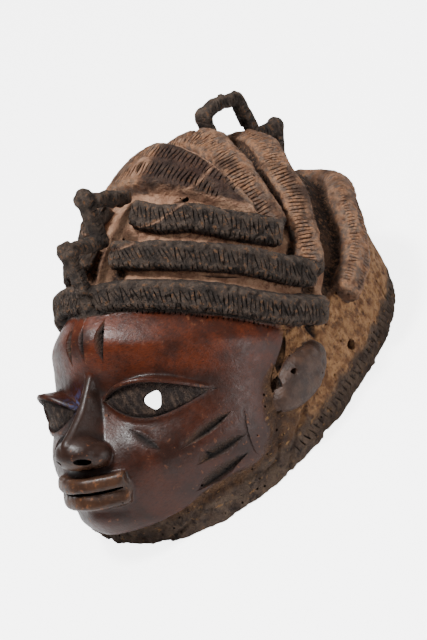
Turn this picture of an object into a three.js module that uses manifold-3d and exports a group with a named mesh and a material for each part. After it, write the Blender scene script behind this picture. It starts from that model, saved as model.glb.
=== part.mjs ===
// Gelede mask: one block of wood, carved as a hollow head with a high dressed hairstyle.
// Millimetres. +X is the mask's own left side, -Y is the way the face looks, +Z is up from
// the flat rim that the mask rests on. Places forward of the middle are written as "front",
// which is -Y.

import * as THREE from 'three';
import { mergeVertices } from 'three/addons/utils/BufferGeometryUtils.js';
import Module from 'manifold-3d';

const wasm = await Module();
wasm.setup();

// Driving dimensions of the head that the hair and the face are carved on.
const RIM_HALF_WIDTH = 103.5;
const RIM_FRONT = 155;
const RIM_BACK = -155;
const HEAD_HEIGHT = 176;
const CROWN_FRONT = -25;
const WALL = 15;
const RIM_WALL = 10;

// Driving dimensions of the face, which leans back from the rim.
const FACE_LEAN = THREE.MathUtils.degToRad(38);
const BROW_FRONT = 113;
const BROW_HEIGHT = 105.6;
const FACE_TOP = 66;
const FACE_BOTTOM = -112;
const FACE_DEPTH = 106;
const FACE_BACK = -118;

// Smooth value through a few (at, value) pairs: a cubic with one slope at each pair.
function smoothThrough(pairs) {
  const last = pairs.length - 1;
  const steps = pairs.slice(1).map(([at], i) => at - pairs[i][0]);
  const slopes = pairs.slice(1).map(([, value], i) => (value - pairs[i][1]) / steps[i]);
  const tangents = pairs.map((pair, i) => {
    if (i === 0) return slopes[0];
    if (i === last) return slopes[last - 1];
    return (slopes[i - 1] * steps[i] + slopes[i] * steps[i - 1]) / (steps[i - 1] + steps[i]);
  });
  return (at) => {
    const inside = THREE.MathUtils.clamp(at, pairs[0][0], pairs[last][0]);
    let i = 0;
    while (i < last - 1 && inside > pairs[i + 1][0]) i += 1;
    const t = (inside - pairs[i][0]) / steps[i];
    const rise = t * t * (3 - 2 * t);
    return pairs[i][1] * (1 - rise) + pairs[i + 1][1] * rise
      + steps[i] * (tangents[i] * t * (1 - t) ** 2 + tangents[i + 1] * t * t * (t - 1));
  };
}

// The head's outline at each rise, from 0 degrees at the rim to 90 at the crown.
const headHalfWidth = smoothThrough([
  [0, RIM_HALF_WIDTH], [7.5, 102], [15, 99], [30, 89], [45, 73], [60, 51], [75, 26], [90, 0],
]);
const headFront = smoothThrough([
  [0, RIM_FRONT], [7.5, 152], [15, 144], [30, 120], [45, 97], [60, 69], [75, 27], [90, CROWN_FRONT],
]);
const headBack = smoothThrough([
  [0, RIM_BACK], [7.5, -154], [15, -152], [30, -147], [45, -131], [60, -98], [75, -62],
  [90, CROWN_FRONT],
]);

// How square the outline is in front and behind, 2 for an ellipse.
const frontSquareness = smoothThrough([[0, 2.25], [15, 2.35], [30, 2.15], [50, 1.95], [90, 1.9]]);
const backSquareness = smoothThrough([[0, 2.3], [15, 2.5], [30, 2.1], [50, 1.85], [90, 1.9]]);

const signedPower = (value, power) => Math.sign(value) * Math.abs(value) ** power;

// A point of the head, by its bearing round the rim (0 in front, 90 at the left) and its rise.
function onHead(bearing, rise) {
  const angle = THREE.MathUtils.degToRad(bearing);
  const front = headFront(rise);
  const back = headBack(rise);
  const power = 2 / (Math.cos(angle) > 0 ? frontSquareness(rise) : backSquareness(rise));
  const x = headHalfWidth(rise) * signedPower(Math.sin(angle), power);
  const forward = (front + back) / 2 + ((front - back) / 2) * signedPower(Math.cos(angle), power);
  const z = HEAD_HEIGHT * Math.sin(THREE.MathUtils.degToRad(rise));
  return new THREE.Vector3(x, -forward, z);
}

// How far out a point lies, 1 on the head's surface.
const TOP_RISE = 87;
function headReach(point) {
  const slope = THREE.MathUtils.clamp(point.z / HEAD_HEIGHT, 0, 1);
  const rise = Math.min(THREE.MathUtils.radToDeg(Math.asin(slope)), TOP_RISE);
  const front = headFront(rise);
  const back = headBack(rise);
  const across = Math.abs(point.x) / headHalfWidth(rise);
  const along = (-point.y - (front + back) / 2) / ((front - back) / 2);
  const power = along > 0 ? frontSquareness(rise) : backSquareness(rise);
  return (across ** power + Math.abs(along) ** power) ** (1 / power);
}

// The way out of the head at a point near its surface.
const PROBE = 2;
function outOfHead(point) {
  const shift = (axis) => {
    const high = point.clone();
    const low = point.clone();
    high[axis] += PROBE;
    low[axis] -= PROBE;
    return headReach(high) - headReach(low);
  };
  return new THREE.Vector3(shift('x'), shift('y'), shift('z')).normalize();
}

// The head's height over a place in plan.
function headTop(x, front) {
  let low = 0;
  let high = TOP_RISE;
  for (let i = 0; i < 24; i += 1) {
    const rise = (low + high) / 2;
    const z = HEAD_HEIGHT * Math.sin(THREE.MathUtils.degToRad(rise));
    if (headReach(new THREE.Vector3(x, -front, z)) < 1) low = rise;
    else high = rise;
  }
  return HEAD_HEIGHT * Math.sin(THREE.MathUtils.degToRad(low));
}

// The face's own frame: x across, v up the face from the nose root, n out of it.
const FACE_UP = new THREE.Vector3(0, Math.sin(FACE_LEAN), Math.cos(FACE_LEAN));
const FACE_OUT = new THREE.Vector3(0, -Math.cos(FACE_LEAN), Math.sin(FACE_LEAN));
const NOSE_ROOT = new THREE.Vector3(0, -BROW_FRONT, BROW_HEIGHT);

function onFace(x, v, n) {
  return NOSE_ROOT.clone().setX(x).addScaledVector(FACE_UP, v).addScaledVector(FACE_OUT, n);
}

// The face's middle line, its half width and how rounded it is across, by height.
const faceMiddle = smoothThrough([
  [-112, -30], [-99, -4], [-91, 7.5], [-82, 11.5], [-70, 16.5], [-56, 18], [-42, 15], [-20, 7], [0, 5],
  [15, 11], [30, 15.5], [45, 9.5], [55, 1], [66, -12],
]);
const faceHalfWidth = smoothThrough([
  [-112, 56], [-99, 63], [-82, 75], [-65, 87], [-42, 93], [-20, 95], [0, 95], [30, 92.5],
  [45, 86], [66, 76],
]);
const faceRoundness = smoothThrough([
  [-112, 1.7], [-80, 1.6], [-65, 1.6], [-42, 1.9], [-20, 2], [0, 1.95], [18, 1.75], [30, 1.7],
  [66, 1.6],
]);

function faceHeight(x, v) {
  const power = faceRoundness(v);
  const across = Math.min(Math.abs(x) / faceHalfWidth(v), 1) ** power;
  return faceMiddle(v) - FACE_DEPTH * (1 - (1 - across) ** (1 / power));
}

const aboveFace = (x, v, proud) => onFace(x, v, faceHeight(x, v) + proud);

// Solids.

function solidFrom(geometry) {
  geometry.deleteAttribute('normal');
  geometry.deleteAttribute('uv');
  const merged = mergeVertices(geometry, 1e-3);
  const corners = merged.index.array;
  const make = (triVerts) => new wasm.Manifold(new wasm.Mesh({
    numProp: 3,
    vertProperties: new Float32Array(merged.attributes.position.array),
    triVerts: new Uint32Array(triVerts),
  }));
  const solid = make(corners);
  if (solid.volume() > 0) return solid;
  return make(corners.map((_, i) => corners[i - (i % 3) + 2 - (i % 3)]));
}

// A closed skin made from a sphere: its rings are rows, its meridians are columns, and place
// says where the vertex at (turn, row) goes, both from 0 to 1.
function skin(columns, rows, place) {
  const geometry = new THREE.SphereGeometry(1, columns, rows);
  const position = geometry.attributes.position;
  for (let row = 0; row <= rows; row += 1) {
    for (let column = 0; column <= columns; column += 1) {
      const point = place((column % columns) / columns, row / rows);
      position.setXYZ(row * (columns + 1) + column, point.x, point.y, point.z);
    }
  }
  return solidFrom(geometry);
}

// A bar's outline, between round (power 2) and square, at a turn. Its under side goes deeper,
// so that it grips what it lies on.
const UNDERSIDE = 1.6;
function barSection(turn, { halfWidth, halfHeight, power, lean = 0 }) {
  const angle = turn * 2 * Math.PI;
  const height = halfHeight * (Math.sin(angle) < 0 ? UNDERSIDE : 1);
  const across = halfWidth * signedPower(Math.cos(angle), 2 / power);
  const up = height * signedPower(Math.sin(angle), 2 / power);
  return [
    across * Math.cos(lean) + up * Math.sin(lean),
    up * Math.cos(lean) - across * Math.sin(lean),
  ];
}

// A bar along a path with blunt, slightly rounded ends. The path gives a point, the way to
// the side and the way out at a place from 0 to 1.
const END_ROUND = [0, 0.6, 1];
function bar(path, { sides, steps, endLength, ...section }) {
  const rows = steps + 2 * END_ROUND.length;
  return skin(sides, rows, (turn, at) => {
    const row = Math.round(at * rows);
    const fromEnd = Math.min(row, rows - row);
    const scale = fromEnd < END_ROUND.length ? END_ROUND[fromEnd] : 1;
    const endShare = fromEnd < END_ROUND.length ? (fromEnd / END_ROUND.length) * endLength : endLength;
    const middle = (row - END_ROUND.length) / steps;
    let along = endLength + (1 - 2 * endLength) * THREE.MathUtils.clamp(middle, 0, 1);
    if (fromEnd < END_ROUND.length) along = row < rows / 2 ? endShare : 1 - endShare;
    const { point, side, out } = path(along);
    const [across, up] = barSection(turn, section);
    return point.clone().addScaledVector(side, across * scale).addScaledVector(out, up * scale);
  });
}

// A path that lies on the head, through (bearing, rise) stations, sunk or raised.
function headPath(stations, proud) {
  const points = stations.map(([bearing, rise]) => {
    const point = onHead(bearing, rise);
    return point.addScaledVector(outOfHead(point), proud);
  });
  const curve = new THREE.CatmullRomCurve3(points, false, 'centripetal');
  return (along) => {
    const point = curve.getPointAt(along);
    const out = outOfHead(point);
    const side = curve.getTangentAt(along).cross(out).normalize();
    return { point, side, out };
  };
}

const solids = [];
const cuts = [];
const mirrored = (solid) => solid.mirror([1, 0, 0]);

function addBothSides(solid) {
  solids.push(solid, mirrored(solid));
}

function cutBothSides(solid) {
  cuts.push(solid, mirrored(solid));
}

// The head itself, from the middle of its underside out to the rim and up to the crown.
const HEAD_COLUMNS = 32;
const HEAD_ROWS = 12;
solids.push(skin(HEAD_COLUMNS, HEAD_ROWS, (turn, row) => {
  if (row === 0) return new THREE.Vector3(0, 0, 0);
  return onHead(turn * 360, ((row * HEAD_ROWS - 1) / (HEAD_ROWS - 1)) * 90);
}));

// The face is a block whose front is shaped by the face's height, cut off flat under the jaw.
const FACE_COLUMNS = 16;
const FACE_ROWS = 19;
const COLLAR_HEIGHT = 23;
const BIG = 1000;

function blockBelow(height) {
  return solidFrom(new THREE.BoxGeometry(BIG, BIG, BIG).translate(0, 0, height - BIG / 2));
}

function faceBlock() {
  const geometry = new THREE.BoxGeometry(2, 1, 1, FACE_COLUMNS, FACE_ROWS, 1);
  const position = geometry.attributes.position;
  for (let i = 0; i < position.count; i += 1) {
    const v = FACE_BOTTOM + (position.getY(i) + 0.5) * (FACE_TOP - FACE_BOTTOM);
    const x = faceHalfWidth(v) * Math.sin((position.getX(i) * Math.PI) / 2);
    const point = onFace(x, v, position.getZ(i) > 0 ? faceHeight(x, v) : FACE_BACK);
    position.setXYZ(i, point.x, point.y, point.z);
  }
  return solidFrom(geometry).subtract(blockBelow(COLLAR_HEIGHT));
}
solids.push(faceBlock());

// The braids. Each lies on the head through (bearing, rise) stations. Those in front start
// beside the crest, which runs through the channel between their blunt ends. A braid leans,
// so that its broad hatched face looks forward.
const BRAID = {
  sides: 8, steps: 7, halfWidth: 10, halfHeight: 10, power: 3.2, endLength: 0.03, proud: 3.5, lean: 0.38,
};
const RETURN = { ...BRAID, halfWidth: 11, power: 3.8, proud: 2, lean: -0.35 };
const braids = [
  { stations: [[4, 58], [23, 57], [39, 53], [62, 42], [79, 30], [91, 21]], ...BRAID },
  { stations: [[13, 68], [30, 65.7], [52, 60], [76, 46], [88, 35], [95, 28.5]], ...BRAID },
  {
    stations: [[94, 29], [100, 33], [108, 38], [118, 42.5], [128, 47.5], [150, 50], [180, 48]],
    ...RETURN,
  },
  { stations: [[32, 77], [56, 71], [76, 63], [88, 50.5], [97, 41.5]], ...BRAID },
  {
    stations: [
      [96.5, 43.5], [99, 46], [103, 49.5], [110, 54], [121, 59], [134, 63.5], [155, 66], [180, 67],
    ],
    ...RETURN, halfWidth: 13,
  },
  {
    stations: [
      [180, 24], [157, 25], [143, 27], [133, 27.5], [126, 26], [118, 23], [109, 20.5], [98, 19],
    ],
    ...BRAID, steps: 9, halfWidth: 11, power: 2.6, proud: 6, lean: 0,
  },
];
for (const { stations, proud, ...shape } of braids) addBothSides(bar(headPath(stations, proud), shape));

// The crown lobe: a leaf of hair lying across the top, pointed at both sides. Its back edge
// is raised, so that its broad face looks forward like those of the braids.
const LOBE = {
  halfLength: 70, halfDepth: 20.5, front: -29.5, sideBack: 3, height: 15, sunk: 18, tilt: 0.15,
};
const LOBE_MIDDLE = new THREE.Vector3(0, 25, 80);
const LOBE_RINGS = [
  { share: 1.2, raised: -LOBE.sunk },
  { share: 1, raised: LOBE.height * 0.3 },
  { share: 0.93, raised: LOBE.height * 0.8 },
  { share: 0.5, raised: LOBE.height },
];
const LOBE_COLUMNS = 18;
const LOBE_POINTED = 1.5;
const LOBE_RIDGED = 1.3;
function crownLobe() {
  const rows = LOBE_RINGS.length + 1;
  return skin(LOBE_COLUMNS, rows, (turn, at) => {
    const row = Math.round(at * rows);
    const end = { share: 0, raised: row === 0 ? -2 * LOBE.sunk : LOBE.height };
    const { share, raised } = LOBE_RINGS[row - 1] ?? end;
    const angle = turn * 2 * Math.PI;
    const x = LOBE.halfLength * share * signedPower(Math.sin(angle), LOBE_POINTED);
    const sideways = Math.abs(x) / LOBE.halfLength;
    const forward = LOBE.halfDepth * share * signedPower(Math.cos(angle), LOBE_RIDGED);
    const front = LOBE.front + LOBE.sideBack * sideways + forward;
    const point = new THREE.Vector3(x, -front, headTop(x, front));
    const way = point.clone().sub(LOBE_MIDDLE).normalize();
    return point.addScaledVector(way, raised - LOBE.tilt * forward);
  });
}
solids.push(crownLobe());

// The openwork crest: squarish rolls that zigzag over the middle, as (front, z) corners.
const CREST_RADIUS = 5.1;
const CREST_KNOB = 7;
const crests = [
  [[3, 183], [38, 208], [43, 176], [75, 193], [81, 150]],
  [[-98, 146], [-104, 175], [-119, 172], [-143, 162], [-143, 129], [-166, 118], [-148, 92]],
];
const crestKnobs = [[38, 208], [75, 193], [-104, 174], [-166, 119]];

const ROLL_SIDES = 8;
const ROLL_SQUARENESS = 4;
function roll(from, to, radius) {
  const length = from.distanceTo(to);
  const capsule = new THREE.CapsuleGeometry(radius, length, 1, ROLL_SIDES, 1);
  const position = capsule.attributes.position;
  for (let i = 0; i < position.count; i += 1) {
    const [x, z] = [position.getX(i), position.getZ(i)];
    const power = (Math.abs(x) ** ROLL_SQUARENESS + Math.abs(z) ** ROLL_SQUARENESS);
    const widened = Math.hypot(x, z) / Math.max(power ** (1 / ROLL_SQUARENESS), 1e-6);
    position.setXYZ(i, x * widened, position.getY(i), z * widened);
  }
  const turn = new THREE.Quaternion()
    .setFromUnitVectors(new THREE.Vector3(0, 1, 0), to.clone().sub(from).normalize());
  capsule.applyQuaternion(turn);
  capsule.translate(...from.clone().add(to).multiplyScalar(0.5).toArray());
  return solidFrom(capsule);
}

const inMiddle = ([front, z]) => new THREE.Vector3(0, -front, z);
for (const corners of crests) {
  for (let i = 1; i < corners.length; i += 1) {
    solids.push(roll(inMiddle(corners[i - 1]), inMiddle(corners[i]), CREST_RADIUS));
  }
}
for (const knob of crestKnobs) {
  solids.push(solidFrom(new THREE.IcosahedronGeometry(CREST_KNOB, 1)
    .translate(...inMiddle(knob).toArray())));
}

// An ellipsoid set in the face's frame.
function faceLump({ at: [x, v, n], radii: [across, up, out] }) {
  return skin(10, 6, (turn, row) => {
    const ring = Math.sin(row * Math.PI);
    return onFace(
      x + across * ring * Math.cos(turn * 2 * Math.PI),
      v + up * Math.cos(row * Math.PI),
      n + out * ring * Math.sin(turn * 2 * Math.PI),
    );
  });
}

// The nose: a narrow flat ridge that widens down to the wings, as [v, ridge n, half width].
const NOSE = [
  [10, 9, 4], [0, 13, 5.5], [-14, 20, 8], [-27, 30, 11], [-37, 38.5, 14], [-43, 36, 17], [-49, 26, 16],
];
const NOSE_RIDGE = 2.6;
const NOSE_BACK = -8;
const NOSE_FLARE = 0.55;
const NOSE_FLANK = 0.45;
const NOSE_END = [0, -50, 12];
function nose() {
  const rows = NOSE.length + 1;
  return skin(8, rows, (turn, at) => {
    const row = Math.round(at * rows);
    if (row === 0) return onFace(0, NOSE[0][0] + 2, NOSE_BACK);
    if (row === rows) return onFace(...NOSE_END);
    const [v, ridge, halfWidth] = NOSE[row - 1];
    const ground = faceMiddle(v);
    const flank = [(NOSE_RIDGE + halfWidth) * NOSE_FLARE, ground + (ridge - ground) * NOSE_FLANK];
    const half = [[NOSE_RIDGE, ridge], flank, [halfWidth, ground - 1], [halfWidth, NOSE_BACK]];
    const otherHalf = half.map(([x, n]) => [-x, n]).reverse();
    const [x, n] = [...half, ...otherHalf][Math.round(turn * 8)];
    return onFace(x, v, n);
  });
}
const NOSE_TIP = { at: [0, -42.5, 23], radii: [18, 12, 15.5] };
const WING = { at: [12, -44, 18], radii: [10, 9, 11] };
const NOSTRIL = { at: [10, -48, 30.5], radii: [5.6, 2.8, 8] };
solids.push(nose());
solids.push(faceLump(NOSE_TIP));
addBothSides(faceLump(WING));
cutBothSides(faceLump(NOSTRIL));

// The lips: two parallel bars that wrap round the mouth, blunt at the corners.
const LIP = { sides: 8, steps: 6, halfWidth: 5.4, halfHeight: 7, power: 2.6, endLength: 0.05 };
const LIPS = [{ v: -65, proud: 4 }, { v: -76, proud: 3 }];
const MOUTH_HALF = 28;
const CORNER_LIFT = 5;
const CORNER_SINK = 5;
for (const { v, proud } of LIPS) {
  solids.push(bar((along) => {
    const x = (2 * along - 1) * MOUTH_HALF;
    const outward = (x / MOUTH_HALF) ** 2;
    const height = v + CORNER_LIFT * outward;
    const slope = (faceHeight(x + PROBE, height) - faceHeight(x - PROBE, height)) / (2 * PROBE);
    const out = new THREE.Vector3(-slope, 0, 0).add(FACE_OUT).normalize();
    return { point: aboveFace(x, height, proud - CORNER_SINK * outward), side: FACE_UP, out };
  }, LIP));
}

// The eyes: an almond wedge that overhangs at the top, with a hollow inside its rims.
const EYE = { inner: 8, outer: 74, innerV: -9, outerV: -4, above: 11, below: 17, overhang: 15, rim: 1.2 };
const EYE_RIM_WIDTH = 2.4;
const EYE_DEPTH = 3.5;
const EYE_BACK = -11;
const EYE_CLEAR = 8;
const EYE_FULLNESS = 0.85;
const EYE_ROWS = 10;
function eyeRing(share, inset, outline) {
  const x = EYE.inner + (EYE.outer - EYE.inner) * share;
  const middle = EYE.innerV + (EYE.outerV - EYE.innerV) * share;
  const open = Math.max(Math.sin(share * Math.PI), 0) ** EYE_FULLNESS;
  const top = middle + Math.max(EYE.above * open - inset, 0);
  const bottom = middle - Math.max(EYE.below * open - inset, 0);
  const spread = (EYE.above + EYE.below) * Math.max(open, 0.1);
  const front = (v) => open * (EYE.rim + (EYE.overhang * (v - middle + EYE.below * open)) / spread);
  return outline(top, bottom, front, open).map(([v, n]) => aboveFace(x, v, n));
}

// Each ring of an almond has six corners, the first three above and the last three below.
function almond(startShare, endShare, inset, outline) {
  return skin(6, EYE_ROWS, (turn, row) => {
    const share = startShare + (endShare - startShare) * (0.5 - 0.5 * Math.cos(row * Math.PI));
    const ring = eyeRing(share, inset, outline);
    if (row === 0 || row === 1) return ring[5].clone().lerp(ring[2], 0.5);
    return ring[Math.round(turn * 6)];
  });
}

const eyeWedge = almond(-0.02, 1.02, 0, (top, bottom, front, open) => [
  [top + 3 * open, EYE_BACK], [top + 1, front(top) - 1], [top - 1, front(top)],
  [bottom + 1, front(bottom)], [bottom - 1, 0], [bottom - 1, EYE_BACK],
]);
const eyeHollow = almond(0.05, 0.95, EYE_RIM_WIDTH, (top, bottom, front, open) => [
  [top, front(top) - EYE_DEPTH * open], [top + 1, front(top) + EYE_CLEAR / 2],
  [top, front(top) + EYE_CLEAR], [bottom, front(bottom) + EYE_CLEAR],
  [bottom - 1, front(bottom) + EYE_CLEAR / 2], [bottom, front(bottom) - EYE_DEPTH * open],
]);

// The pupils are drilled right through.
const PUPIL = { x: 43, v: -9.5, radius: 6.2, length: 90, sides: 7 };
const PUPIL_WAY = new THREE.Vector3(0.58, -0.62, 0.53).normalize();
function drill(at, way, { radius, length, sides }) {
  const cylinder = new THREE.CylinderGeometry(radius, radius, length, sides);
  const turn = new THREE.Quaternion().setFromUnitVectors(new THREE.Vector3(0, 1, 0), way);
  cylinder.applyQuaternion(turn);
  return solidFrom(cylinder.translate(...at.toArray()));
}
const pupil = drill(aboveFace(PUPIL.x, PUPIL.v, 0), PUPIL_WAY, PUPIL);

// The right eye sits a little lower, further out and further forward than the left one.
const RIGHT_EYE_SHIFT = [-4, -5, -2];
const onRight = (solid) => mirrored(solid).translate(RIGHT_EYE_SHIFT);
solids.push(eyeWedge, onRight(eyeWedge));
cuts.push(eyeHollow, onRight(eyeHollow), pupil, onRight(pupil));

// Lens-shaped cuts on the face, as two ends (x, v), half width and depth.
const LENS_CUTS = [
  { from: [59, -44], to: [81, -19], halfWidth: 3.8, depth: 6.5 },
  { from: [64, -55], to: [86, -35], halfWidth: 4.2, depth: 6.5 },
  { from: [57, -73], to: [85, -48], halfWidth: 3.6, depth: 6.5 },
  { from: [29, -28], to: [50, -43], halfWidth: 4, depth: 2.6 },
  { from: [14, 47], to: [14, 16], halfWidth: 3.6, depth: 6 },
];
const MIDDLE_CUT = { from: [0, 43], to: [0, 17], halfWidth: 2.6, depth: 3 };
function lensCut({ from, to, halfWidth, depth }, above = aboveFace) {
  const length = Math.hypot(to[0] - from[0], to[1] - from[1]);
  const acrossX = -(to[1] - from[1]) / length;
  const acrossV = (to[0] - from[0]) / length;
  return skin(4, 5, (turn, row) => {
    const swell = Math.sin(row * Math.PI);
    const x = from[0] + (to[0] - from[0]) * row;
    const v = from[1] + (to[1] - from[1]) * row;
    const side = swell * halfWidth * Math.cos(turn * 2 * Math.PI);
    const out = swell * depth * Math.sin(turn * 2 * Math.PI);
    return above(x + side * acrossX, v + side * acrossV, out);
  });
}
LENS_CUTS.forEach((cut) => cutBothSides(lensCut(cut)));
cuts.push(lensCut(MIDDLE_CUT));

// The ears: low leaf-shaped lobes on the sides, drilled, with a rough fold above.
const EAR = { front: 36.5, z: 46, halfLength: 29.5, halfHeight: 14.5, tilt: 0.11, height: 9, sunk: 6 };
const EAR_RINGS = [
  { share: 1, raised: -EAR.sunk },
  { share: 1, raised: EAR.height * 0.5 },
  { share: 0.75, raised: EAR.height * 0.9 },
];
const EAR_POINTED = 1.2;
function headSide(front, z) {
  const rise = THREE.MathUtils.radToDeg(Math.asin(z / HEAD_HEIGHT));
  const power = frontSquareness(rise);
  const middle = (headFront(rise) + headBack(rise)) / 2;
  const along = Math.abs(front - middle) / ((headFront(rise) - headBack(rise)) / 2);
  return headHalfWidth(rise) * (1 - Math.min(along, 1) ** power) ** (1 / power);
}
// Deep folds divide the ear from the cheek and from the hair, as two ends (front, z).
const EAR_CUTS = [
  { from: [20, 77], to: [56, 57], halfWidth: 4.6, depth: 6 },
  { from: [44, 70], to: [69, 35], halfWidth: 3.6, depth: 6 },
  { from: [2, 75], to: [5, 50], halfWidth: 4.6, depth: 4 },
];
const aboveSide = (front, z, proud) => new THREE.Vector3(headSide(front, z) + proud, -front, z);
EAR_CUTS.forEach((cut) => cutBothSides(lensCut(cut, aboveSide)));

function ear() {
  const rows = EAR_RINGS.length + 1;
  return skin(12, rows, (turn, at) => {
    const row = Math.round(at * rows);
    const end = { share: 0, raised: row === 0 ? -EAR.sunk * 2 : EAR.height };
    const { share, raised } = EAR_RINGS[row - 1] ?? end;
    const angle = turn * 2 * Math.PI;
    const a = EAR.halfLength * share * signedPower(Math.cos(angle), EAR_POINTED);
    const b = EAR.halfHeight * share * Math.sin(angle);
    const front = EAR.front + a * Math.cos(EAR.tilt) + b * Math.sin(EAR.tilt);
    const z = EAR.z - a * Math.sin(EAR.tilt) + b * Math.cos(EAR.tilt);
    return new THREE.Vector3(headSide(front, z) + raised, -front, z);
  });
}
addBothSides(ear());

// The ear's small hole is blind. The tie hole behind it goes through to the hollow.
const SIDEWAYS = new THREE.Vector3(1, 0, 0);
const EAR_HOLE = { at: new THREE.Vector3(100, -43, 55.5), radius: 2.3, length: 24, sides: 6 };
const TIE_HOLE = { at: new THREE.Vector3(98, 19, 27), radius: 4, length: 50, sides: 6 };
cutBothSides(drill(EAR_HOLE.at, SIDEWAYS, EAR_HOLE));
cutBothSides(drill(TIE_HOLE.at, SIDEWAYS, TIE_HOLE));

function ellipsoid({ at, radii, columns, rows }) {
  return solidFrom(new THREE.SphereGeometry(1, columns, rows).scale(...radii).translate(...at));
}
const FOLD = { at: [89, -15, 66], radii: [9, 7, 15], columns: 8, rows: 6 };
addBothSides(ellipsoid(FOLD));

// The hollow follows the head, a wall's thickness in, and swells forward behind the face.
const HOLLOW_COLUMNS = 24;
const HOLLOW_ROWS = 9;
const HOLLOW_START = -20;
const HOLLOW_START_SHARE = 0.9;
function hollow() {
  return skin(HOLLOW_COLUMNS, HOLLOW_ROWS, (turn, at) => {
    const row = Math.round(at * HOLLOW_ROWS);
    const rim = onHead(turn * 360, 0);
    if (row === 0) return new THREE.Vector3(0, 0, HOLLOW_START);
    if (row === 1) return rim.multiplyScalar(HOLLOW_START_SHARE).setZ(HOLLOW_START);
    if (row === 2) return rim.addScaledVector(outOfHead(rim).setZ(0).normalize(), -RIM_WALL);
    if (row === HOLLOW_ROWS) return new THREE.Vector3(0, -CROWN_FRONT, HEAD_HEIGHT - WALL);
    const point = onHead(turn * 360, ((row - 2) / (HOLLOW_ROWS - 2)) * 90);
    return point.addScaledVector(outOfHead(point), -WALL);
  });
}
const FACE_HOLLOW = { at: [0, -103, 52], radii: [60, 42, 50], columns: 14, rows: 8 };
cuts.push(hollow(), ellipsoid(FACE_HOLLOW));

const carved = solids.reduce((whole, solid) => whole.add(solid));
const block = cuts.reduce((whole, cut) => whole.subtract(cut), carved).subtract(blockBelow(0));

// The mask's own right side was carved a little lower than its left, more so above the rim.
const RIGHT_SIDE_DROP = 0.1;
const DROP_FROM = 12;
const DROP_FULL = 60;
function dropRightSide(geometry) {
  const position = geometry.attributes.position;
  for (let i = 0; i < position.count; i += 1) {
    const x = Math.min(position.getX(i), 0);
    const z = position.getZ(i);
    const share = THREE.MathUtils.smoothstep(z, DROP_FROM, DROP_FULL);
    position.setZ(i, z + RIGHT_SIDE_DROP * x * share);
  }
}

function geometryFrom(solid) {
  const mesh = solid.getMesh();
  const geometry = new THREE.BufferGeometry();
  geometry.setAttribute('position', new THREE.BufferAttribute(mesh.vertProperties, 3));
  geometry.setIndex(new THREE.BufferAttribute(mesh.triVerts, 1));
  dropRightSide(geometry);
  return geometry;
}

// The origin is put under the middle of the finished carving.
function centred(geometry) {
  geometry.computeBoundingBox();
  const { min, max } = geometry.boundingBox;
  return geometry.translate(-(min.x + max.x) / 2, -(min.y + max.y) / 2, -min.z);
}

const wood = new THREE.MeshStandardMaterial({ color: 0x4a2b1d, roughness: 0.6, metalness: 0 });
const mask = new THREE.Mesh(centred(geometryFrom(block)), wood);
mask.name = 'gelede_mask';

const group = new THREE.Group();
group.add(mask);

export default group;
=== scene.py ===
# %% [markdown]
# A gelede mask, carved from one block of wood
#
# The mask is a hollow helmet that a dancer wears tilted on top of the head. It has a polished
# face, high braids of hair with hatched cuts, a zigzag crest and a rough neck. This lesson
# carves it in the order that a carver would: block, forms, hollow, cuts, wear and colour.

import bmesh
import bpy
import numpy as np
from mathutils import Matrix, Vector
from mathutils.bvhtree import BVHTree


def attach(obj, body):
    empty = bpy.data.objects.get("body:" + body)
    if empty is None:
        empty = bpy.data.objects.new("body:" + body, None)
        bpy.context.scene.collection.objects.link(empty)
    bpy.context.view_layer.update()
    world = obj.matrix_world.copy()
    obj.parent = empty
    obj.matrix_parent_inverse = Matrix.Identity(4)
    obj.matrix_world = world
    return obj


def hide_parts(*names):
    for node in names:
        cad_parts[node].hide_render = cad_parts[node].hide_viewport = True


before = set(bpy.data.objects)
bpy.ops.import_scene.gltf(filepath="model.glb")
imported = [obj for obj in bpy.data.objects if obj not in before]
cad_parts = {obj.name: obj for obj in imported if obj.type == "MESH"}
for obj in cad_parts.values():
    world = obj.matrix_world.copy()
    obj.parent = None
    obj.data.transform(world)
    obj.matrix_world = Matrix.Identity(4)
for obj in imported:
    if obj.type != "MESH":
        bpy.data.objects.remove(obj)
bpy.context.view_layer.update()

# %% [markdown]
# The work is done in millimetres in the carver's frame: +X is the mask's own left side, the
# face looks along -Y, and "front" means -Y. At the end the mesh is moved onto the CAD solid
# and brought to metres. A few pairs of numbers, joined by a smooth curve, give each profile.

# %% Smooth curves through a few pairs
MM = 0.001
CENTRE_SHIFT = 3.573


def smooth_through(pairs):
    """A cubic curve through (at, value) pairs, with one slope at each pair."""
    at, value = np.array(pairs, float).T
    steps = np.diff(at)
    slopes = np.diff(value) / steps
    inner = (slopes[:-1] * steps[1:] + slopes[1:] * steps[:-1]) / (steps[:-1] + steps[1:])
    tangents = np.concatenate([slopes[:1], inner, slopes[-1:]])

    def curve(where):
        inside = np.clip(np.asarray(where, float), at[0], at[-1])
        i = np.clip(np.searchsorted(at, inside, side="left") - 1, 0, len(steps) - 1)
        t = (inside - at[i]) / steps[i]
        rise = t * t * (3 - 2 * t)
        bend = tangents[i] * t * (1 - t) ** 2 + tangents[i + 1] * t * t * (t - 1)
        return value[i] * (1 - rise) + value[i + 1] * rise + steps[i] * bend

    return curve


def signed_power(value, power):
    return np.sign(value) * np.abs(value) ** power


def unit(vectors):
    return vectors / np.maximum(np.linalg.norm(vectors, axis=-1, keepdims=True), 1e-9)


def smoothstep(value, low, high):
    t = np.clip((value - low) / (high - low), 0, 1)
    return t * t * (3 - 2 * t)


# %% [markdown]
# The head is an egg cut off flat at the rim. Its outline at each rise, from 0 degrees at the
# rim to 90 at the crown, is half an ellipse in front and half behind, a little squared.

# %% The head under the hair
RIM_HALF_WIDTH = 103.5
RIM_FRONT = 155
RIM_BACK = -155
HEAD_HEIGHT = 176
CROWN_FRONT = -25
TOP_RISE = 87
PROBE = 2
HALVINGS = 24

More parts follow.
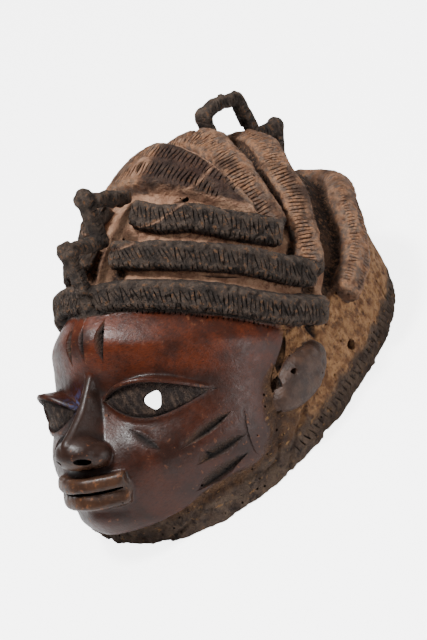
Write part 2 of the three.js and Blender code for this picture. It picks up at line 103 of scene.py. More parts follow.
head_half_width = smooth_through([
    (0, RIM_HALF_WIDTH), (7.5, 102), (15, 99), (30, 89), (45, 73), (60, 51), (75, 26), (90, 0),
])
head_front = smooth_through([
    (0, RIM_FRONT), (7.5, 152), (15, 144), (30, 120), (45, 97), (60, 69), (75, 27),
    (90, CROWN_FRONT),
])
head_back = smooth_through([
    (0, RIM_BACK), (7.5, -154), (15, -152), (30, -147), (45, -131), (60, -98), (75, -62),
    (90, CROWN_FRONT),
])
front_squareness = smooth_through([(0, 2.25), (15, 2.35), (30, 2.15), (50, 1.95), (90, 1.9)])
back_squareness = smooth_through([(0, 2.3), (15, 2.5), (30, 2.1), (50, 1.85), (90, 1.9)])


def on_head(bearing, rise):
    """Points of the head, by bearing round the rim (0 front, 90 left) and rise, in degrees."""
    angle = np.radians(bearing)
    front, back = head_front(rise), head_back(rise)
    power = 2 / np.where(np.cos(angle) > 0, front_squareness(rise), back_squareness(rise))
    x = head_half_width(rise) * signed_power(np.sin(angle), power)
    forward = (front + back) / 2 + (front - back) / 2 * signed_power(np.cos(angle), power)
    z = HEAD_HEIGHT * np.sin(np.radians(rise)) + 0 * x
    return np.stack([x, -forward, z], axis=-1)


def head_reach(points):
    """How far out points lie: 1 on the head's surface."""
    slope = np.clip(points[..., 2] / HEAD_HEIGHT, 0, 1)
    rise = np.minimum(np.degrees(np.arcsin(slope)), TOP_RISE)
    front, back = head_front(rise), head_back(rise)
    across = np.abs(points[..., 0]) / head_half_width(rise)
    along = (-points[..., 1] - (front + back) / 2) / ((front - back) / 2)
    power = np.where(along > 0, front_squareness(rise), back_squareness(rise))
    return (across ** power + np.abs(along) ** power) ** (1 / power)


def reach_slope(points):
    """How fast the reach grows along each axis."""
    slopes = []
    for axis in np.eye(3):
        change = head_reach(points + PROBE * axis) - head_reach(points - PROBE * axis)
        slopes.append(change / (2 * PROBE))
    return np.stack(slopes, axis=-1)


def out_of_head(points):
    return unit(reach_slope(points))


def above_head(points):
    """About how many millimetres points lie above the head's surface."""
    steepness = np.linalg.norm(reach_slope(points), axis=-1)
    return (head_reach(points) - 1) / np.maximum(steepness, 1e-4)


def head_top(x, front):
    """The head's height over places in plan, found by halving the range again and again."""
    low, high = np.zeros_like(x), np.full_like(x, TOP_RISE)
    for _ in range(HALVINGS):
        rise = (low + high) / 2
        z = HEAD_HEIGHT * np.sin(np.radians(rise))
        inside = head_reach(np.stack([x, -front, z], axis=-1)) < 1
        low = np.where(inside, rise, low)
        high = np.where(inside, high, rise)
    return HEAD_HEIGHT * np.sin(np.radians(low))


def head_side(front, z):
    """How far out to the side the head's surface is."""
    rise = np.degrees(np.arcsin(z / HEAD_HEIGHT))
    power = front_squareness(rise)
    middle = (head_front(rise) + head_back(rise)) / 2
    along = np.abs(front - middle) / ((head_front(rise) - head_back(rise)) / 2)
    return head_half_width(rise) * (1 - np.minimum(along, 1) ** power) ** (1 / power)


print("head at the rim:", 2 * RIM_HALF_WIDTH, "by", RIM_FRONT - RIM_BACK, "mm")

# %% [markdown]
# The face leans back from the rim. It has a frame of its own: x across, v up the face from the
# nose root and n out of it. Three curves give its middle line, half width and roundness.

# %% The face's own frame
FACE_LEAN = np.radians(38)
NOSE_ROOT = np.array([0, -113, 105.6])
FACE_UP = np.array([0, np.sin(FACE_LEAN), np.cos(FACE_LEAN)])
FACE_OUT = np.array([0, -np.cos(FACE_LEAN), np.sin(FACE_LEAN)])
FACE_TOP = 66
FACE_BOTTOM = -112
FACE_DEPTH = 106
FACE_BACK = -118
COLLAR_HEIGHT = 23

face_middle = smooth_through([
    (-112, -30), (-99, -4), (-91, 7.5), (-82, 11.5), (-70, 16.5), (-56, 18), (-42, 15), (-20, 7),
    (0, 5), (15, 11), (30, 15.5), (45, 9.5), (55, 1), (66, -12),
])
face_half_width = smooth_through([
    (-112, 56), (-99, 63), (-82, 75), (-65, 87), (-42, 93), (-20, 95), (0, 95), (30, 92.5),
    (45, 86), (66, 76),
])
face_roundness = smooth_through([
    (-112, 1.7), (-80, 1.6), (-65, 1.6), (-42, 1.9), (-20, 2), (0, 1.95), (18, 1.75),
    (30, 1.7), (66, 1.6),
])


def on_face(x, v, n):
    x, v, n = np.broadcast_arrays(*(np.asarray(a, float) for a in (x, v, n)))
    point = NOSE_ROOT + v[..., None] * FACE_UP + n[..., None] * FACE_OUT
    point[..., 0] = x
    return point


def in_face(points):
    """The x, v and n of points."""
    offset = points - NOSE_ROOT
    return points[..., 0], offset @ FACE_UP, offset @ FACE_OUT


def face_height(x, v):
    power = face_roundness(v)
    across = np.minimum(np.abs(x) / face_half_width(v), 1) ** power
    return face_middle(v) - FACE_DEPTH * (1 - (1 - across) ** (1 / power))


def above_face(x, v, proud):
    return on_face(x, v, face_height(x, v) + proud)


print("face from", FACE_BOTTOM, "to", FACE_TOP, "mm up from the nose root")

# %% [markdown]
# Each form is a closed skin: a grid of points with its first and last rows drawn together.
# The forms are kept as plain arrays until they are all there.

# %% Closed skins
def outward(points, faces):
    """The same form with its faces turned outwards."""
    volume = 0.0
    for face in faces:
        a = points[face[0]]
        for second, third in zip(face[1:-1], face[2:]):
            volume += np.dot(a, np.cross(points[second], points[third]))
    return points, faces if volume > 0 else [face[::-1] for face in faces]


def skin(columns, rows, place):
    """A closed form. place gives the points at arrays of turn and row, both from 0 to 1."""
    turn, row = np.meshgrid(np.arange(columns) / columns, np.arange(rows + 1) / rows)
    grid = place(turn, row)
    points = np.concatenate([
        grid[0].mean(axis=0)[None], grid[1:-1].reshape(-1, 3), grid[-1].mean(axis=0)[None],
    ])
    last = len(points) - 1
    faces = []
    for column in range(columns):
        beside = (column + 1) % columns
        faces.append((0, 1 + column, 1 + beside))
        for ring in range(rows - 2):
            start = 1 + ring * columns
            below = start + columns
            faces.append((start + column, below + column, below + beside, start + beside))
        start = 1 + (rows - 2) * columns
        faces.append((start + column, last, start + beside))
    return outward(points, faces)


def mirrored(form):
    points, faces = form
    return points * [-1, 1, 1], [face[::-1] for face in faces]


def both_sides(form):
    return [form, mirrored(form)]


def ball(centre, radii, columns=24, rows=14, put=None):
    """An ellipsoid. put turns local points into the carver's frame."""
    def place(turn, row):
        ring = np.sin(row * np.pi)
        local = np.stack([
            ring * np.cos(turn * 2 * np.pi), ring * np.sin(turn * 2 * np.pi), np.cos(row * np.pi),
        ], axis=-1) * radii + centre
        return put(local) if put else local
    return skin(columns, rows, place)


def face_ball(centre, radii, **options):
    """An ellipsoid set in the face's frame, sizes across, up and out."""
    return ball(centre, radii, put=lambda p: on_face(p[..., 0], p[..., 1], p[..., 2]), **options)


def mesh_object(name, forms):
    """One object from several forms."""
    points = np.concatenate([form[0] for form in forms])
    faces = []
    start = 0
    for form_points, form_faces in forms:
        faces.extend(tuple(corner + start for corner in face) for face in form_faces)
        start += len(form_points)
    mesh = bpy.data.meshes.new(name)
    mesh.from_pydata(points, [], faces)
    made = bpy.data.objects.new(name, mesh)
    bpy.context.scene.collection.objects.link(made)
    return made


# %% [markdown]
# Modifiers do the heavy work. Each is added, evaluated into a plain mesh and taken off again,
# so that the next step starts from real geometry.

# %% Applying a modifier
def apply_modifier(piece, kind, **settings):
    modifier = piece.modifiers.new(kind.lower(), kind)
    for name, value in settings.items():
        setattr(modifier, name, value)
    bpy.context.view_layer.update()
    evaluated = piece.evaluated_get(bpy.context.evaluated_depsgraph_get())
    mesh = bpy.data.meshes.new_from_object(evaluated)
    piece.modifiers.remove(modifier)
    old = piece.data
    piece.data = mesh
    bpy.data.meshes.remove(old)


def take_away(piece, cutter):
    """Cuts one object out of another and deletes the cutter."""
    apply_modifier(piece, "BOOLEAN", operation="DIFFERENCE", solver="MANIFOLD", object=cutter)
    bpy.data.objects.remove(cutter)


def triangles(piece):
    return sum(len(polygon.vertices) - 2 for polygon in piece.data.polygons)


def read_points(piece):
    flat = np.empty(len(piece.data.vertices) * 3, np.float32)
    piece.data.vertices.foreach_get("co", flat)
    return flat.reshape(-1, 3).astype(float)


def write_points(piece, points):
    piece.data.vertices.foreach_set("co", points.astype(np.float32).ravel())
    piece.data.update()


# %% [markdown]
# Braids, lips and the roll behind are bars: one cross-section carried along a path that lies
# on the head. The path runs through a few (bearing, rise) stations, as a carver would mark
# them, and is read by arc length so that the section moves evenly.

# %% Bars along a path
UNDERSIDE = 1.6
END_STEPS = 6


def curve_through(points, samples=400):
    """A dense centripetal Catmull-Rom curve through points."""
    ends = [2 * points[0] - points[1], *points, 2 * points[-1] - points[-2]]
    pieces = []
    for i in range(len(points) - 1):
        p0, p1, p2, p3 = ends[i:i + 4]
        d0, d1, d2 = (np.linalg.norm(b - a) ** 0.5 for a, b in ((p0, p1), (p1, p2), (p2, p3)))
        t1 = ((p1 - p0) / d0 - (p2 - p0) / (d0 + d1) + (p2 - p1) / d1) * d1
        t2 = ((p2 - p1) / d1 - (p3 - p1) / (d1 + d2) + (p3 - p2) / d2) * d1
        t = np.linspace(0, 1, samples, endpoint=False)[:, None]
        bend = (2 * p1 - 2 * p2 + t1 + t2) * t ** 3 + (-3 * p1 + 3 * p2 - 2 * t1 - t2) * t ** 2
        pieces.append(bend + t1 * t + p1)
    return np.concatenate(pieces + [points[-1][None]])


def head_path(stations, proud):
    """A path on the head. It gives point, side and out at places from 0 to 1."""
    bearing, rise = np.array(stations, float).T
    points = on_head(bearing, rise)
    curve = curve_through(points + proud * out_of_head(points))
    length = np.concatenate([[0], np.cumsum(np.linalg.norm(np.diff(curve, axis=0), axis=1))])
    tangents = unit(np.gradient(curve, axis=0))

    def path(along):
        where = np.asarray(along) * length[-1]
        point = np.stack([np.interp(where, length, curve[:, k]) for k in range(3)], axis=-1)
        way = np.stack([np.interp(where, length, tangents[:, k]) for k in range(3)], axis=-1)
        out = out_of_head(point)
        return point, unit(np.cross(way, out)), out

    path.length = length[-1]
    return path


def bar_section(turn, half_width, half_height, power, lean=0):
    angle = turn * 2 * np.pi
    height = half_height * np.where(np.sin(angle) < 0, UNDERSIDE, 1)
    across = half_width * signed_power(np.cos(angle), 2 / power)
    up = height * signed_power(np.sin(angle), 2 / power)
    return (across * np.cos(lean) + up * np.sin(lean), up * np.cos(lean) - across * np.sin(lean))


def bar(path, end_length, sides=28, steps=70, **section):
    """A bar with blunt, slightly rounded ends."""
    rounding = np.linspace(0, 1, END_STEPS)
    along = np.concatenate([
        rounding * end_length, np.linspace(end_length, 1 - end_length, steps)[1:-1],
        1 - rounding[::-1] * end_length,
    ])
    scale = np.ones_like(along)
    scale[:END_STEPS] = (1 - (1 - rounding) ** 3) ** (1 / 3)
    scale[-END_STEPS:] = scale[:END_STEPS][::-1]

    def place(turn, row):
        index = np.rint(row * (len(along) - 1)).astype(int)
        point, side, out = path(along[index])
        across, up = bar_section(turn, **section)
        size = scale[index]
        return point + (across * size)[..., None] * side + (up * size)[..., None] * out

    return skin(sides, len(along) - 1, place)


# %% [markdown]
# The block: the egg of the head, and a slab in front of it whose outer side is the face. The
# slab is cut off flat under the jaw, where the face stops and the neck begins.

# %% Head and face
def head_form():
    columns, rows = 160, 60
    def place(turn, row):
        rise = np.clip((row * rows - 1) / (rows - 1), 0, 1) * 90
        return np.where((row == 0)[..., None], 0.0, on_head(turn * 360, rise))
    return skin(columns, rows, place)


def face_form():
    """A slab: front and back grids with their borders joined."""
    columns, rows = 90, 110
    across, up = np.meshgrid(np.linspace(-1, 1, columns + 1), np.linspace(0, 1, rows + 1))
    v = FACE_BOTTOM + up * (FACE_TOP - FACE_BOTTOM)
    x = face_half_width(v) * np.sin(across * np.pi / 2)
    front = on_face(x, v, face_height(x, v))
    back = on_face(x, v, FACE_BACK)
    wide = columns + 1
    count = wide * (rows + 1)
    faces = []
    for j in range(rows):
        for i in range(columns):
            a, d = j * wide + i, (j + 1) * wide + i
            b, c = a + 1, d + 1
            faces += [(a, b, c, d), (count + d, count + c, count + b, count + a)]
    for j in range(rows):
        low, high = j * wide, (j + 1) * wide
        faces += [(low, high, count + high, count + low)]
        low, high = low + columns, high + columns
        faces += [(high, low, count + low, count + high)]
    for i in range(columns):
        faces += [(i + 1, i, count + i, count + i + 1)]
        top = rows * wide + i
        faces += [(top, top + 1, count + top + 1, count + top)]
    return outward(np.concatenate([front.reshape(-1, 3), back.reshape(-1, 3)]), faces)


def block_below(height, reach=1000):
    corners = np.array([(x, y, z) for z in (-1, 1) for y in (-1, 1) for x in (-1, 1)], float)
    points = corners * reach / 2 + [0, 0, height - reach / 2]
    faces = [(0, 2, 3, 1), (4, 5, 7, 6), (0, 1, 5, 4), (2, 6, 7, 3), (0, 4, 6, 2), (1, 3, 7, 5)]
    return outward(points, faces)


face_piece = mesh_object("face_slab", [face_form()])
take_away(face_piece, mesh_object("below_jaw", [block_below(COLLAR_HEIGHT)]))
forms = [head_form()]
print("face slab:", triangles(face_piece), "triangles")

# %% [markdown]
# The hair: three braids on each side in front, two returns behind them, the roll at the back,
# and the leaf-shaped lobe on the crown. The two upper braids each meet a return that climbs
# over the head, so together they read as nested arches. Hatch cuts will be laid on them all.

# %% Braids, rear roll and crown lobe
BRAID = dict(half_width=10, half_height=10, power=4.4, lean=0.38)
RETURN = dict(half_width=11, half_height=10, power=3.8, lean=-0.35)
BRAID_END = 0.03
braid_stations = {
    "hairline": [(4, 58), (23, 57), (39, 53), (62, 42), (79, 30), (91, 21)],
    "second": [(13, 68), (30, 65.7), (52, 60), (76, 46), (88, 35), (95, 28.5)],
    "second_return": [
        (94, 29), (100, 33), (108, 38), (118, 42.5), (128, 47.5), (150, 50), (180, 48),
    ],
    "third": [(32, 77), (56, 71), (76, 63), (88, 50.5), (97, 41.5)],
    "third_return": [
        (96.5, 43.5), (99, 46), (103, 49.5), (110, 54), (121, 59), (134, 63.5), (155, 66),
        (180, 67),
    ],
    "rear_roll": [
        (180, 24), (157, 25), (143, 27), (133, 27.5), (126, 26), (118, 23), (109, 20.5),
        (98, 19),
    ],
}
braid_proud = dict(second_return=2, third_return=2, rear_roll=6)
braid_shape = {
    "second_return": RETURN, "third_return": {**RETURN, "half_width": 13},
    "rear_roll": dict(half_width=11, half_height=10, power=2.6, lean=0),
}
paths = {
    name: head_path(stations, braid_proud.get(name, 3.5))
    for name, stations in braid_stations.items()
}
for name, path in paths.items():
    forms += both_sides(bar(path, BRAID_END, **braid_shape.get(name, BRAID)))

LOBE = dict(
    half_length=70, half_depth=20.5, front=-29.5, side_back=3, height=15, sunk=18, tilt=0.15)
LOBE_POINTED = 1.5
LOBE_RIDGED = 1.3
LOBE_SKIRT = 1.2
LOBE_MIDDLE = np.array([0, 25, 80])
lobe_rise = smooth_through([
    (0, 1), (0.5, 1), (0.85, 0.92), (0.95, 0.74), (1.0, 0.3), (1.06, -0.3), (LOBE_SKIRT, -1.06),
])


def on_lobe(turn, share):
    """Points on the lobe's skin at shares of the way out from its middle."""
    angle = turn * 2 * np.pi
    x = LOBE["half_length"] * share * signed_power(np.sin(angle), LOBE_POINTED)
    forward = LOBE["half_depth"] * share * signed_power(np.cos(angle), LOBE_RIDGED)
    front = LOBE["front"] + LOBE["side_back"] * np.abs(x) / LOBE["half_length"] + forward
    ground = np.stack([x, -front, head_top(x, front)], axis=-1)
    raised = LOBE["height"] * lobe_rise(share) - LOBE["tilt"] * forward
    return ground + raised[..., None] * unit(ground - LOBE_MIDDLE)


def crown_lobe():
    columns, rows = 96, 30
    def place(turn, row):
        bottom = np.array([0, -LOBE["front"], HEAD_HEIGHT - 2 * LOBE["sunk"]])
        return np.where((row == 0)[..., None], bottom, on_lobe(turn, LOBE_SKIRT * (1 - row)))
    return skin(columns, rows, place)


forms.append(crown_lobe())
print("hair forms:", len(forms) - 1)

# %% [markdown]
# The crest is openwork: thick rolls that zigzag over the middle of the head from the brow to
# the nape, with a knob at some turns. Squarish rolls and balls overlap here, and the remesh
# will fuse them as if they were cut from the one block.

# %% The zigzag crest
CREST_RADIUS = 5.1
CREST_KNOB = 7
crests = [
    [(3, 183), (38, 208), (43, 176), (75, 193), (81, 150)],
    [(-98, 146), (-104, 175), (-119, 172), (-143, 162), (-143, 129), (-166, 118), (-148, 92)],
]
crest_knobs = [(38, 208), (75, 193), (-104, 174), (-166, 119)]


def in_middle(corner):
    return np.array([0, -corner[0], corner[1]], float)


ROLL_SQUARENESS = 3.4
ROLL_CAPS = 5


def roll(start, end, radius):
    """A squarish roll between two points. Each rounded cap takes one row in ROLL_CAPS."""
    way = unit(end - start)
    side = unit(np.cross(way, [1, 0, 0.001]))
    other = np.cross(way, side)
    columns, rows = 24, 20
    def place(turn, row):
        angle = turn * 2 * np.pi
        bulge = np.clip(np.minimum(row, 1 - row) * ROLL_CAPS, 0, 1)
        ring = radius * (1 - (1 - bulge) ** 2) ** 0.5
        reach = np.where(row < 0.5, -radius * (1 - bulge), radius * (1 - bulge))
        straight = np.clip((row - 1 / ROLL_CAPS) / (1 - 2 / ROLL_CAPS), 0, 1)
        middle = start + straight[..., None] * (end - start)
        middle = middle + reach[..., None] * way
        squared = (np.abs(np.cos(angle)) ** ROLL_SQUARENESS
                   + np.abs(np.sin(angle)) ** ROLL_SQUARENESS)
        ring = ring / squared ** (1 / ROLL_SQUARENESS)
        around = np.cos(angle)[..., None] * side + np.sin(angle)[..., None] * other
        return middle + ring[..., None] * around
    return skin(columns, rows, place)


for corners in crests:
    for start, end in zip(corners, corners[1:]):
        forms.append(roll(in_middle(start), in_middle(end), CREST_RADIUS))
for knob in crest_knobs:
    forms.append(ball(in_middle(knob), [CREST_KNOB] * 3))
print("forms with the crest:", len(forms))

# %% [markdown]
# The nose is narrow and sharp along its ridge and ends in one broad bulb with a slot for each
# nostril. The lips stand out like a box: two bars joined at the corners, with a deep slot
# between them.

# %% Nose and lips
nose_ridge = smooth_through([
    (-49, 26), (-43, 36), (-37, 38.5), (-27, 30), (-14, 20), (0, 13), (10, 9),
])
nose_half_width = smooth_through([
    (-49, 16), (-43, 17), (-37, 14), (-27, 11), (-14, 8), (0, 5.5), (10, 4),
])
NOSE_TOP = 10
NOSE_TIP = -49
NOSE_RIDGE = 2.6
NOSE_BACK = -8
NOSE_FLANK = 0.62
NOSE_UNDER = 0.2
NOSE_CLOSED = 0.82
NOSE_BLUNT = 0.12
NOSE_BULB = dict(centre=(0, -42.5, 23), radii=(18, 12, 15.5))
NOSE_WING = dict(centre=(12, -44, 18), radii=(10, 9, 11))


def nose_form():
    """The nose. Its ring runs from the ridge down a flank, under the face and back."""
    columns, rows = 40, 30
    def place(turn, row):
        v = NOSE_TOP + (NOSE_TIP - NOSE_TOP) * np.clip((row * rows - 1) / (rows - 2), 0, 1)
        ridge, half_width, ground = nose_ridge(v), nose_half_width(v), face_middle(v)
        half_turn = np.where(turn < 0.5, turn, 1 - turn) * 2
        side = np.where(turn < 0.5, 1, -1)
        down = np.clip(half_turn / NOSE_FLANK, 0, 1)
        x = NOSE_RIDGE * np.clip(down * 6, 0, 1) + (half_width - NOSE_RIDGE) * down ** 1.15
        fall = np.clip((down - NOSE_BLUNT) / (1 - NOSE_BLUNT), 0, 1) ** 0.9
        n = ridge + (ground - 2 - ridge) * fall
        n = n + (NOSE_BACK - n) * np.clip((half_turn - NOSE_FLANK) / NOSE_UNDER, 0, 1)
        closed = np.clip((half_turn - NOSE_CLOSED) / (1 - NOSE_CLOSED), 0, 1)
        return on_face(x * (1 - closed) * side, v, n)
    return skin(columns, rows, place)


forms.append(nose_form())
forms.append(face_ball(**NOSE_BULB, columns=36, rows=20))
forms += both_sides(face_ball(**NOSE_WING))

MOUTH_HEIGHT = -70.5
MOUTH_HALF = 28
CORNER_LIFT = 5
CORNER_SINK = 5
LIP = dict(half_width=5.6, half_height=7, power=3.4)
LIP_END = 0.05
LIP_CORNER = (5, 6, 8.5)
SLOT = dict(half_width=1.1, half_height=5, power=3)
SLOT_END = 0.16
lip_places = [dict(height=-65, proud=4), dict(height=-76, proud=3)]


def lip_path(height, proud):
    def path(along):
        x = (2 * along - 1) * MOUTH_HALF
        outward_share = (x / MOUTH_HALF) ** 2
        v = height + CORNER_LIFT * outward_share
        slope = (face_height(x + PROBE, v) - face_height(x - PROBE, v)) / (2 * PROBE)
        out = FACE_OUT + slope[..., None] * np.array([-1.0, 0, 0])
        side = np.broadcast_to(FACE_UP, out.shape)
        return above_face(x, v, proud - CORNER_SINK * outward_share), side, unit(out)
    return path


for lip in lip_places:
    forms.append(bar(lip_path(**lip), LIP_END, steps=40, **LIP))
corner_point = above_face(MOUTH_HALF - 2, MOUTH_HEIGHT + CORNER_LIFT, -1.5)
forms += both_sides(ball(corner_point, LIP_CORNER))
mouth_slot = bar(lip_path(MOUTH_HEIGHT, proud=7), SLOT_END, sides=12, steps=30, **SLOT)
print("forms with nose and lips:", len(forms))

# %% [markdown]
# Each eye is an almond wedge. Its upper lid stands out like a visor and the ball slopes in to
# the lower lid. A second, smaller almond hollows it inside thin lids, and the pupil is
# drilled right through for the dancer to see out.

# %% Eyes
EYE = dict(
    inner=8, outer=74, inner_v=-9, outer_v=-4, above=11, below=17, overhang=15, rim=1.2,
)
EYE_FULLNESS = 0.85
EYE_RIM_WIDTH = 2.4
EYE_DEPTH = 4.2
EYE_BULGE = 3
EYE_BACK = -11
EYE_CLEAR = 8
RIGHT_EYE_SHIFT = np.array([-4, -5, -2])


def almond(start_share, end_share, inset, outline):
    """A closed almond whose rings have a few corners, from above the eye to below it."""
    rows, corner_count = 44, len(outline(0.0, 0.0, lambda v: v, 1.0))
    def place(turn, row):
        span = 0.5 - 0.5 * np.cos(row * np.pi)
        share = start_share + (end_share - start_share) * span
        x = EYE["inner"] + (EYE["outer"] - EYE["inner"]) * share
        middle = EYE["inner_v"] + (EYE["outer_v"] - EYE["inner_v"]) * share
        opened = np.maximum(np.sin(share * np.pi), 0) ** EYE_FULLNESS
        top = middle + np.maximum(EYE["above"] * opened - inset, 0)
        bottom = middle - np.maximum(EYE["below"] * opened - inset, 0)
        spread = (EYE["above"] + EYE["below"]) * np.maximum(opened, 0.1)

        def front(v):
            tilt = EYE["overhang"] * (v - middle + EYE["below"] * opened) / spread
            return opened * (EYE["rim"] + tilt)

        corners = np.array([
            np.broadcast_arrays(v, n) for v, n in outline(top, bottom, front, opened)])
        index = np.rint(turn * corner_count).astype(int)
        v = np.take_along_axis(corners[:, 0], index[None], axis=0)[0]
        n = np.take_along_axis(corners[:, 1], index[None], axis=0)[0]
        return above_face(x, v, n)
    return skin(corner_count, rows, place)


eye_wedge = almond(-0.02, 1.02, 0, lambda top, bottom, front, opened: [
    (top + 3 * opened, EYE_BACK), (top + 1, front(top) - 1), (top - 1, front(top)),
    (bottom + 1, front(bottom)), (bottom - 1, 0 * top), (bottom - 1, EYE_BACK),
])
eye_hollow = almond(0.05, 0.95, EYE_RIM_WIDTH, lambda top, bottom, front, opened: [
    (top, front(top) - EYE_DEPTH * opened), (top + 1, front(top) + EYE_CLEAR / 2),
    (top, front(top) + EYE_CLEAR), (bottom, front(bottom) + EYE_CLEAR),
    (bottom - 1, front(bottom) + EYE_CLEAR / 2), (bottom, front(bottom) - EYE_DEPTH * opened),
] + [
    (bottom + (top - bottom) * rise, front(bottom + (top - bottom) * rise)
     + (EYE_BULGE * np.sin(rise * np.pi) ** 0.7 - EYE_DEPTH) * opened)
    for rise in (0.15, 0.35, 0.6, 0.85)
])


def both_eyes(form):
    right_points, right_faces = mirrored(form)
    return [form, (right_points + RIGHT_EYE_SHIFT, right_faces)]


forms += both_eyes(eye_wedge)
print("forms with the eyes:", len(forms))

# %% [markdown]
# The ears are low leaf-shaped lobes with a rough fold above them and a valley in front.

# %% Ears
EAR = dict(front=36.5, z=46, half_length=29.5, half_height=14.5, tilt=0.11, height=9, sunk=6)
EAR_POINTED = 1.2
EAR_SKIRT = 1.1
EAR_FOLD = dict(centre=(89, -15, 66), radii=(9, 7, 15))
ear_rise = smooth_through([
    (0, 1), (0.5, 0.98), (0.75, 0.9), (0.92, 0.68), (1.0, 0.4), (1.05, -0.2), (EAR_SKIRT, -0.7),
])


def ear_form():
    columns, rows = 48, 20
    def place(turn, row):
        share = EAR_SKIRT * (1 - row)
        angle = turn * 2 * np.pi
        a = EAR["half_length"] * share * signed_power(np.cos(angle), EAR_POINTED)
        b = EAR["half_height"] * share * np.sin(angle)
        front = EAR["front"] + a * np.cos(EAR["tilt"]) + b * np.sin(EAR["tilt"])
        z = EAR["z"] - a * np.sin(EAR["tilt"]) + b * np.cos(EAR["tilt"])
        x = head_side(front, z) + EAR["height"] * ear_rise(share)
        x = np.where(row == 0, head_side(front, z) - 2 * EAR["sunk"], x)
        return np.stack([x, -front, z], axis=-1)
    return skin(columns, rows, place)


forms += both_sides(ear_form())
forms += both_sides(ball(**EAR_FOLD))
print("forms with the ears:", len(forms))

# %% [markdown]
# Now the forms become one piece of wood. A voxel remesh wraps everything that overlaps in a
# single skin, and a light smoothing rounds the inner corners as a knife and years of handling
# do.

# %% Fuse the forms
VOXEL = 1.15
mask = mesh_object("gelede_mask_carved", forms)
with_face = bmesh.new()
with_face.from_mesh(mask.data)
with_face.from_mesh(face_piece.data)
with_face.to_mesh(mask.data)
with_face.free()
bpy.data.objects.remove(face_piece)
apply_modifier(mask, "REMESH", mode="VOXEL", voxel_size=VOXEL)
apply_modifier(mask, "SMOOTH", factor=0.5, iterations=2)
print("fused block:", triangles(mask), "triangles")

# %% [markdown]
# The wood isn't the same everywhere: the face is polished by hands, the hair is rough and
# sooty, the ground between the braids is bare and the neck is crusted. One function tells for
# any point which of these zones it lies in, and both the relief and the colours use it. For the
# braids it looks up the nearest of some points along their paths.

# %% Which braid is nearest
POINTS_AT_ONCE = 40000
braid_names = list(paths)
braid_half_width = np.array([braid_shape.get(name, BRAID)["half_width"] for name in braid_names])
braid_lean = np.array([braid_shape.get(name, BRAID)["lean"] for name in braid_names])
SAMPLES = 70
braid_samples = [paths[name](np.linspace(0, 1, SAMPLES)) for name in braid_names]
sample_points, sample_sides, sample_outs = (np.concatenate(parts) for parts in zip(*braid_samples))


def beside_braids(points):
    """The number of the nearest braid, and how far across and out of it each point lies."""
    folded = points * np.where(points[:, :1] < 0, [-1, 1, 1], [1, 1, 1])
    nearest = np.empty(len(points), int)
    lengths = (sample_points ** 2).sum(axis=1)
    for start in range(0, len(points), POINTS_AT_ONCE):
        some = folded[start:start + POINTS_AT_ONCE].astype(np.float32)
        apart = lengths - 2 * some @ sample_points.T.astype(np.float32)
        nearest[start:start + POINTS_AT_ONCE] = apart.argmin(axis=1)
    offset = folded - sample_points[nearest]
    side = (offset * sample_sides[nearest]).sum(axis=1)
    out = (offset * sample_outs[nearest]).sum(axis=1)
    kind = nearest // SAMPLES
    cosine, sine = np.cos(braid_lean[kind]), np.sin(braid_lean[kind])
    return kind, side * cosine - out * sine, side * sine + out * cosine


print("points along the braids:", len(sample_points))

# %% [markdown]
# The other zones come from the same named sizes that made the forms. Each has a small function
# of its own. A zone is 1 inside and falls softly to 0 at its edge.

# %% Zones of eyes, crest, lobe, ears and hollow
CREST_SOFT = (CREST_KNOB + 1, CREST_KNOB + 2.5)
LOBE_EDGE = 1.04
LOBE_LOWEST = 140
EYE_EDGE = (0.92, 1.06)
EYE_OUTSIDE = 9
FACE_HOLLOW = dict(centre=(0, -103, 52), radii=(60, 42, 50))
CHANNEL = dict(aside=12, half_width=5.5, y=-25, z=120)


def from_segment(points, start, end):
    along = np.clip(((points - start) @ (end - start)) / ((end - start) @ (end - start)), 0, 1)
    return np.linalg.norm(points - start - along[:, None] * (end - start), axis=1)


def in_eyes(points):
    """1 on the ball of an eye, inside its thin lids."""
    inside = np.zeros(len(points))
    for side, shift in ((1, np.zeros(3)), (-1, RIGHT_EYE_SHIFT)):
        x, v, n = in_face((points - shift) * [side, 1, 1])
        share = np.clip((x - EYE["inner"]) / (EYE["outer"] - EYE["inner"]), 0, 1)
        middle = EYE["inner_v"] + (EYE["outer_v"] - EYE["inner_v"]) * share
        opened = np.sin(share * np.pi) ** EYE_FULLNESS
        above = (v - middle) / np.maximum(EYE["above"] * opened - EYE_RIM_WIDTH, 0.3)
        below = (middle - v) / np.maximum(EYE["below"] * opened - EYE_RIM_WIDTH, 0.3)
        reach = np.maximum(above, below) + EYE_OUTSIDE * (np.abs(share - 0.5) >= 0.5)
        inside = np.maximum(inside, 1 - smoothstep(reach, *EYE_EDGE))
    return inside


def on_crest(points):
    """1 on the rolls and knobs of the crest."""
    away = np.full(len(points), 99.0)
    for corners in crests:
        for start, end in zip(corners, corners[1:]):
            away = np.minimum(away, from_segment(points, in_middle(start), in_middle(end)))
    return 1 - smoothstep(away, *CREST_SOFT)


def on_crown_lobe(points, above):
    """1 on the lobe, by the same two powers that drew its outline."""
    aside = np.abs(points[:, 0])
    front = LOBE["front"] + LOBE["side_back"] * aside / LOBE["half_length"]
    share = ((aside / LOBE["half_length"]) ** (2 / LOBE_POINTED)
             + (np.abs(-points[:, 1] - front) / LOBE["half_depth"]) ** (2 / LOBE_RIDGED))
    share = share ** (LOBE_POINTED / 2)
    lobe = smoothstep(LOBE_EDGE - share, 0, 0.05) * smoothstep(above, 1, 3)
    return lobe * (points[:, 2] > LOBE_LOWEST)


